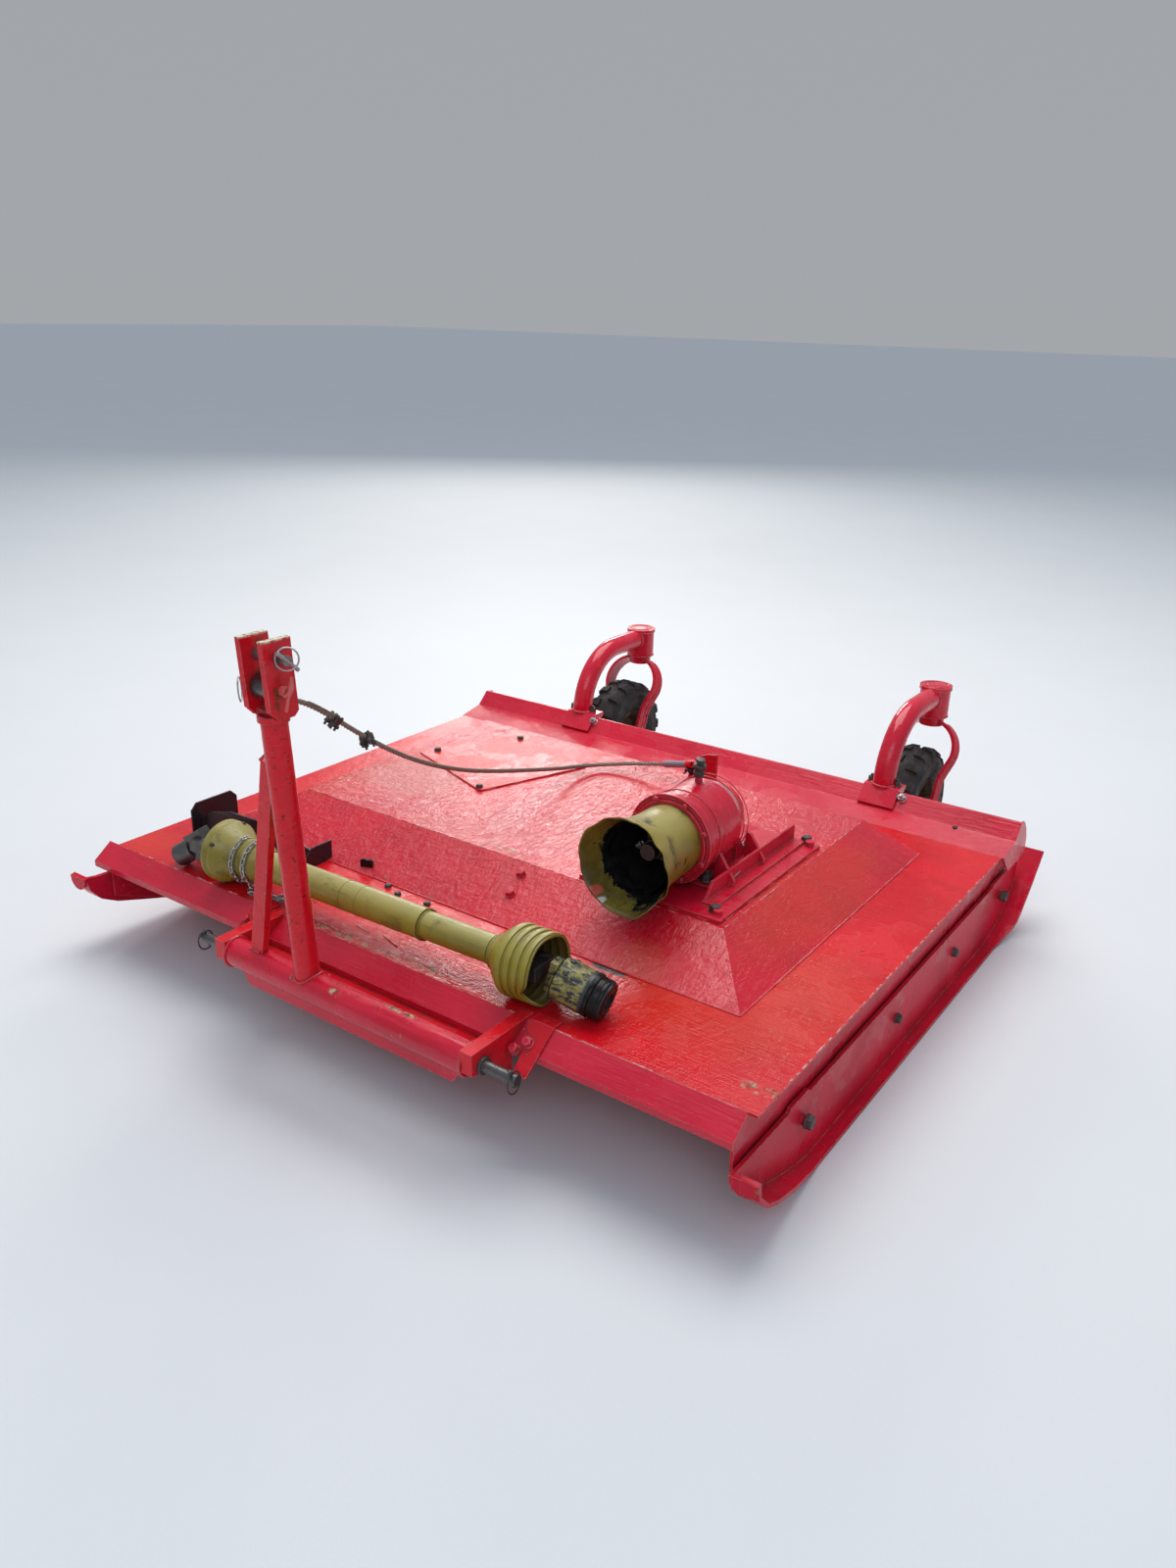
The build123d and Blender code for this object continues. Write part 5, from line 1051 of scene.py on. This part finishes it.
def make_bell_guard():
    outer = [(34.5, 0), (37.5, 0.5), (38.5, 4), (44, 10), (56, 22), (65, 33), (69.5, 39)]
    inner = []
    for k in range(4):
        start = 40 + RIB_PITCH * k
        outer += [(radius, start + height) for radius, height in RIB_OUTER]
        inner += [(radius, start + height) for radius, height in RIB_INNER]
    outer += [(70.2, 113.4), (69.4, 114)]
    inner += [(67.4, 113.2)]
    line = outer + inner[::-1] + [(62, 36), (53, 25), (42, 14), (34.5, 6)]
    bm = bmesh.new()
    lathe(bm, mm(*line), along_shaft(952), 84, True, bell_shape)
    bell = piece("bell_guard_worn", bm, "olive", sharp=48)
    # The inside takes the darker copy of the plastic: painted shade, with grime
    paint_inside(bell, "olive_inner_shaded", SHAFT_ORIGIN, SHAFT_WAY, 0.15)
    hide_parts("shaft_bell_guard")


SEAMS = (
    # distance along the shaft, radius, thickness
    (768.5, 32.3, 1.6), (774, 31.8, 0.9), (560, 32.0, 0.9), (604, 32.0, 0.9), (940, 29.6, 1.0), (948, 33.5, 2.2),
    (326, 33.5, 1.4), (331, 33.5, 1.4),
)


def make_shaft_trim():
    bm = bmesh.new()
    for distance, radius, thick in SEAMS:
        ring(bm, SHAFT_ORIGIN + SHAFT_WAY * (distance / 1000), SHAFT_WAY, radius / 1000, thick / 1000, 6, 56)
    piece("tube_seams", bm, "olive_tube")

    bm = bmesh.new()
    place = facing(CLUTCH_AT, CLUTCH_WAY)
    lathe(bm, mm((38.5, 110.5), (42.8, 110.5), (43.5, 113), (42.8, 118.5), (39.5, 120.5)), place, 56, True)
    collar = mm((36, 121.5), (39.5, 122), (40.2, 125), (39.5, 127), (40.2, 130), (39.2, 132.5), (40.2, 136),
                (39.8, 140), (37.2, 143.2), (36, 143.2))
    lathe(bm, collar, place, 56, True)
    ring(bm, CLUTCH_AT + CLUTCH_WAY * 0.0445, CLUTCH_WAY, 0.0424, 0.0009, 6, 48)
    end = mm((17.8, 143.5), (37.5, 143.5), (37.5, 145.2), (33.5, 146.2), (32, 144.8), (26.5, 144.8), (25, 146.5),
             (20, 146.5), (17.8, 144.5))
    lathe(bm, end, place, 48, True)
    piece("clutch_rings", bm, "grease")

    bm = bmesh.new()
    for k in range(5):
        out = outward(place, -50 + 44 * k)
        bolt(bm, CLUTCH_AT + CLUTCH_WAY * 0.06 + out * 0.0415, out, 0.01, 0.0035, 20 * k, washer=False)
    piece("clutch_screws", bm, "bolt")

    # screw heads on the cone guard's rim
    bm = bmesh.new()
    rim = along_shaft(212)
    for angle in (35, 120, 215, 300):
        out = outward(rim, angle)
        head = facing(rim.translation + out * 0.0655, out)
        lathe(bm, mm((0, -2), (5.5, -2), (5.5, 3), (4.5, 4.2), (0, 4.5)), head, 18)
    piece("cone_screws", bm, "bolt")


make_bell_guard()
make_shaft_trim()


# Headstock: rings and pins, the painted split pin, cable clamps and wire knot
def make_pins():
    bm = bmesh.new()
    hub = at(-24, -159.9, 872)
    tube(bm, [hub + Vector((0.002, -0.02, 0.018)), hub + Vector((0.002, 0.024, -0.021))], 0.0038, 12)
    ring(bm, hub + Vector((0.002, 0.001, 0.003)), (0.8, -0.6, 0.1), 0.0198, 0.0016, 8, 56)
    low = at(-127, -157, 812)
    tube(bm, [low + Vector((0.001, -0.004, 0.018)), low + Vector((0.001, 0.004, -0.02))], 0.0036, 12)
    ring(bm, low + Vector((0.0, -0.022, -0.006)), (0.72, 0.69, 0.05), 0.0215, 0.0015, 8, 56)
    piece("linch_pins", bm, "zinc")

    bm = bmesh.new()
    for face, side in ((375, 1), (-300, -1)):
        hub = at(face + side * 66, TUBE_Y, TUBE_Z)
        tube(bm, [hub + Vector((0, -0.006, 0.018)), hub + Vector((0, 0.006, -0.02))], 0.0036, 12)
        ring(bm, hub + Vector((side * 0.004, 0, -0.007)), (1, 0.1, 0.12), 0.0198, 0.0016, 8, 48)
    piece("lower_linch_pins", bm, "bolt")

    bm = bmesh.new()
    lathe(bm, mm((7.8, 0), (9.2, 0), (9.2, 11.5), (8, 13), (0, 13.5)), facing(at(-43.5, -156.3, 814), RIGHT), 24)
    bends = places((-28, -147, 840), (-26, -150, 830), (-23, -155, 817), (-25, -160, 803), (-28, -163, 781))
    pin = smooth_line(bends)
    swell = [0.0032 + 0.0022 * math.exp(-((i - len(pin) * 0.42) / 4) ** 2) for i in range(len(pin))]
    tube(bm, pin, swell, 10)
    tube(bm, smooth_line(places((-30, -146, 826), (-22, -156, 818), (-27, -166, 808))), 0.0026, 8)
    piece("split_pin_painted", bm, "split_pin")


def nearest_frame(point):
    return min(range(len(cable_frames)), key=lambda i: (cable_frames[i][0] - point).length)


def make_clamps():
    bm = bmesh.new()
    for target, spin in ((at(-92, 4, 711), 20), (at(-101, 92, 647), -35)):
        i = nearest_frame(target)
        centre = cable_frames[i][0]
        way = (cable_frames[i + 3][0] - cable_frames[i - 3][0]).normalized()
        matrix = facing(centre, way, spin)
        saddle = mm((-11, -9), (11, -9), (13, -2), (11, 8), (-11, 8), (-13, -2))
        prism(bm, saddle, -0.009, 0.009, matrix, 0.002, 0.12)
        turn = matrix.to_3x3()
        for end in (-0.0065, 0.0065):
            for side in (-1, 1):
                leg = centre + way * end + turn @ Vector((0.0085 * side, 0, 0))
                out = turn @ Vector((0, -1, 0))
                prism(bm, hexagon(0.0095), 0.008, 0.014, facing(leg, out, 15))
                tube(bm, [leg - out * 0.01, leg + out * 0.02], 0.0026, 8)
    piece("cable_clamps", bm, "bolt")

    rng = random.Random(11)
    bm = bmesh.new()
    eye = at(97, 1036, 358)
    for k in range(5):
        tilt = Vector((0.5 + rng.uniform(-0.4, 0.4), rng.uniform(-0.7, 0.7), rng.uniform(-0.5, 0.5))).normalized()
        centre = eye + Vector((rng.uniform(-0.006, 0.006), rng.uniform(-0.006, 0.006), rng.uniform(-0.01, 0.006)))
        ring(bm, centre, tilt, rng.uniform(0.01, 0.016), 0.0021, 7, 30)
    for end in ((112, 1026, 336), (84, 1020, 338), (104, 1022, 374), (120, 1030, 350)):
        bend = eye.lerp(at(*end), 0.5) + Vector((rng.uniform(-0.006, 0.006), -0.007, rng.uniform(-0.004, 0.004)))
        tube(bm, smooth_line([eye, bend, at(*end)]), 0.002, 7)
    piece("wire_knot", bm, "grease")


make_pins()
make_clamps()


# Weld beads, caps, seams and marks in the paint
PIVOT_RINGS = ((497.2, 33.5, 1.6, 56), (497.0, 24, 1.2, 48), (488, 43.2, 1.6, 64), (411, 41.5, 1.8, 64))


def make_welds():
    bm = bmesh.new()
    foot = []
    for a in turns(44):
        dy = 26.0 * math.sin(a)
        foot.append(at(-61 + 26.5 * math.cos(a), TUBE_Y + dy, TUBE_Z + math.sqrt(31.0 ** 2 - dy ** 2)))
    weld(bm, foot, 0.0034, 2, True)
    weld(bm, circle(at(-77.4, -151, 761), (0.03, 0.04, 1), 0.0258, 40), 0.003, 4, True)
    for x in (-272.5, 347.5):
        weld(bm, circle(at(x, TUBE_Y, TUBE_Z), RIGHT, 0.0312), 0.0032, 6, True)
    for side in (-1, 1):
        below, above = TUBE_Y + side * 6.5, TUBE_Y + side * 9
        weld(bm, places((-262, below, 181.5), (338, below, 181.5)), 0.0028, 8 + side)
        weld(bm, places((-220, above, 240), (-188, above, 240)), 0.003, 12 + side)
    weld(bm, places((-120, -154, 668), (-96, -152, 690)), 0.003, 15)
    piece("headstock_welds", bm, "cross")

    bm = bmesh.new()
    case = [at(x, y, DECK_TOP + 0.5) for x, y in ((-755, 240), (680, 240), (680, 1134), (-755, 1134))]
    weld(bm, case, 0.0024, 20, True)
    cover = []
    for sx, sy in ((-1, -1), (1, -1), (1, 1), (-1, 1)):
        turned = Matrix.Rotation(math.radians(-20), 2) @ Vector((161 * sx, 161 * sy))
        cover.append(at(-383 + turned.x, 858 + turned.y, HUMP_TOP + 0.5))
    for a, b in zip(cover, cover[1:] + cover[:1]):
        for k in range(4):
            start = a.lerp(b, 0.06 + k * 0.25)
            weld(bm, [start, a.lerp(b, 0.14 + k * 0.25)], 0.0024, 30 + k)
    plate = [at(x, y, HUMP_TOP + 0.5) for x, y in ((194, 410), (536, 410), (536, 870), (194, 870))]
    for a, b in zip(plate, plate[1:] + plate[:1]):
        for k in range(5):
            weld(bm, [a.lerp(b, 0.05 + k * 0.2), a.lerp(b, 0.12 + k * 0.2)], 0.0026, 40 + k)
    piece("case_welds", bm, "hump")

    bm = bmesh.new()
    for _, x in CASTORS:
        weld(bm, circle(at(x, 1372, 303), UP, 0.0305), 0.0034, 50, True)
        weld(bm, circle(at(x, 1650, 466), REAR, 0.03), 0.003, 52, True)
        lathe(bm, mm((0, 0), (22.5, 0), (22.5, 0.8), (12, 2.2), (0, 2.6)), facing(at(x, PIVOT_Y, 496.6), UP), 40)
        for z, radius, thick, steps in PIVOT_RINGS:
            ring(bm, at(x, PIVOT_Y, z), UP, radius / 1000, thick / 1000, 8, steps)
    piece("castor_trim", bm, "castor")


HOOP_LEAN = math.atan2(100, 226)
HOOP_TOP = 396
# half of the hoop's outside, as x and z before it leans
HOOP_SIDE = [(66, 152), (66, 236), (72, 258), (83, 292), (87, 309)]
HOOP_SIDE += [(7 + 80 * math.cos(math.radians(a)), 316 + 80 * math.sin(math.radians(a))) for a in range(6, 64, 6)]
RIDGES = ((-15, 2.6), (15, 2.6), (0, 3.4))


def make_fork_ridges():
    """Raised ribs along the outside of each castor hoop, leaning with it."""
    for body, x in CASTORS:
        bm = bmesh.new()
        for side in (-1, 1):
            for shift, radius in RIDGES:
                line = []
                for i, (px, pz) in enumerate(HOOP_SIDE):
                    (rx, rz), (qx, qz) = HOOP_SIDE[max(i - 1, 0)], HOOP_SIDE[min(i + 1, len(HOOP_SIDE) - 1)]
                    out = Vector((qz - rz, -(qx - rx))).normalized() * 5.0
                    down = HOOP_TOP - (pz + out.y)
                    y = PIVOT_Y - down * math.sin(HOOP_LEAN) + shift * math.cos(HOOP_LEAN)
                    z = HOOP_TOP - down * math.cos(HOOP_LEAN) - shift * math.sin(HOOP_LEAN)
                    line.append(at(x + side * (px + out.x), y, z))
                tube(bm, line, radius / 1000, 8)
        piece(body + "_ribs", bm, "castor", body)


# A hole drawn as a black disc with a raised rim: the black is painted shade for the hole's dark inside
def dark_hole(bm, place, out, radius):
    rim = radius * 1.12
    profile = mm((0, 0.3), (radius * 0.8, 0.3), (radius, 0.9), (rim, 0.3), (rim, -1.5), (0, -1.5))
    lathe(bm, profile, facing(place, out), 24)


def make_fork_holes():
    for body, x in CASTORS:
        bm = bmesh.new()
        for y, z in ((1628, 232), (1644, 226), (1632, 204), (1648, 198)):
            dark_hole(bm, at(x + 71.4, y, z), RIGHT, 5.5)
        piece(body + "_holes", bm, "grease", body)


PAINT_RUNS = (((-209, 25), (-107, 19)), ((-123, 60), (-77, 53)), ((-45, 62), (6, 46)), ((-232, 120), (-236, 160)))


def make_marks():
    """Run-on welds across the strip before the hump, pale lines along the sheets' edges as painted highlights, holes
    drawn as black discs of painted shade, and a lug.
    """
    bm = bmesh.new()
    for seed, (a, b) in enumerate(PAINT_RUNS, 60):
        weld(bm, [at(*a, DECK_TOP + 0.6), at(*b, DECK_TOP + 0.6)], 0.0021, seed)
    piece("bare_welds", bm, "fleck")

    # Pale raised lines along the sheet edges and folds: painted highlights
    rng = random.Random(31)
    bm = bmesh.new()
    edge, front = DECK_TOP + 0.3, DECK_TOP + 0.2
    for x, low, high, count in ((843.5, 30, 1230, 46), (680.5, 250, 1130, 26)):
        for k in range(count):
            start = low + (high - low) * k / count + rng.uniform(0, 8)
            reach = rng.uniform(6, 0.95 * (high - low) / count)
            ends = [at(x + rng.uniform(-1, 0.8), start, edge), at(x + rng.uniform(-1, 0.8), start + reach, edge)]
            weld(bm, ends, rng.uniform(0.0009, 0.0018), 70 + k)
    for k in range(16):
        start = -740 + 88 * k + rng.uniform(0, 30)
        near = at(start, rng.uniform(-0.5, 1.5), front)
        far = at(start + rng.uniform(12, 60), rng.uniform(-0.5, 1.5), front)
        weld(bm, [near, far], 0.0011, 120 + k)
    for k in range(30):
        start = at(-630 + 39 * k + rng.uniform(0, 8), 400, HUMP_TOP + 0.1)
        weld(bm, [start, start + Vector((rng.uniform(0.01, 0.034), 0, 0))], 0.001, 150 + k)
    for k in range(18):
        start = at(550, 400 + 38 * k + rng.uniform(0, 8), HUMP_TOP + 0.1)
        weld(bm, [start, start + Vector((0, rng.uniform(0.008, 0.03), 0))], 0.001, 190 + k)
    piece("edge_highlight_lines", bm, "fleck")

    bm = bmesh.new()
    dark_hole(bm, at(-195, 975, HUMP_TOP + 0.1), UP, 7)
    dark_hole(bm, at(703, 1312, 256), (0, -0.21, 0.98), 6)
    lug = Matrix.Translation(at(-292, 262, DECK_TOP)) @ Matrix.Rotation(math.radians(12), 4, "Z")
    prism(bm, mm((-16, -4), (16, -4), (14, 5), (-12, 6)), -0.001, 0.026, lug, 0.004, 0.3)
    piece("dark_marks", bm, "grease")


make_welds()
make_fork_ridges()
make_fork_holes()
make_marks()


# Floor and light
def make_stage():
    bm = bmesh.new()
    bmesh.ops.create_grid(bm, x_segments=8, y_segments=8, size=60.0)
    floor = mesh_object("floor", bm, pale_floor("floor_pale"))
    floor.location = (0, 0, -0.0005)


LIGHTS = [
    # name, place, aimed at, width, height, watts, colour
    ("back_softbox", (-5.27, 6.68, 3.7), (-0.18, -0.02, 0.31), 2.8, 1.7, 150.0, (1.0, 0.98, 0.95)),
    ("top_softbox", (-0.9, 1.4, 5.2), (0, 0, 0.2), 4.2, 4.2, 215.0, (1.0, 0.98, 0.96)),
    ("front_fill", (3.5, -6.5, 5.5), (0, -0.3, 0.3), 6.0, 4.0, 130.0, (0.74, 0.84, 1.0)),
]


def make_lights():
    for name, place, target, width, height, watts, colour in LIGHTS:
        data = bpy.data.lights.new(name, "AREA")
        data.shape = "RECTANGLE"
        data.size, data.size_y = width, height
        data.energy = watts
        data.color = colour
        lamp = bpy.data.objects.new(name, data)
        lamp.location = place
        way = Vector(target) - Vector(place)
        lamp.rotation_euler = way.to_track_quat("-Z", "Y").to_euler()
        lamp.visible_camera = False
        scene.collection.objects.link(lamp)
    world = bpy.data.worlds.new("studio")
    scene.world = world
    world.use_nodes = True
    tree = world.node_tree
    back = tree.nodes["Background"]
    way = tree.nodes.new("ShaderNodeTexCoord")
    parts = tree.nodes.new("ShaderNodeSeparateXYZ")
    ramp = tree.nodes.new("ShaderNodeValToRGB")
    tree.links.new(way.outputs["Generated"], parts.inputs[0])
    tree.links.new(parts.outputs[2], ramp.inputs[0])
    tree.links.new(ramp.outputs[0], back.inputs["Color"])
    low, high = ramp.color_ramp.elements
    low.position, low.color = 0.0, (0.575, 0.6, 0.63, 1.0)
    high.position, high.color = 1.0, (0.68, 0.82, 1.0, 1.0)
    middle = ramp.color_ramp.elements.new(0.42)
    middle.color = (0.55, 0.59, 0.65, 1.0)
    back.inputs["Strength"].default_value = 0.64
    scene.view_settings.view_transform = "Standard"


make_stage()
make_lights()
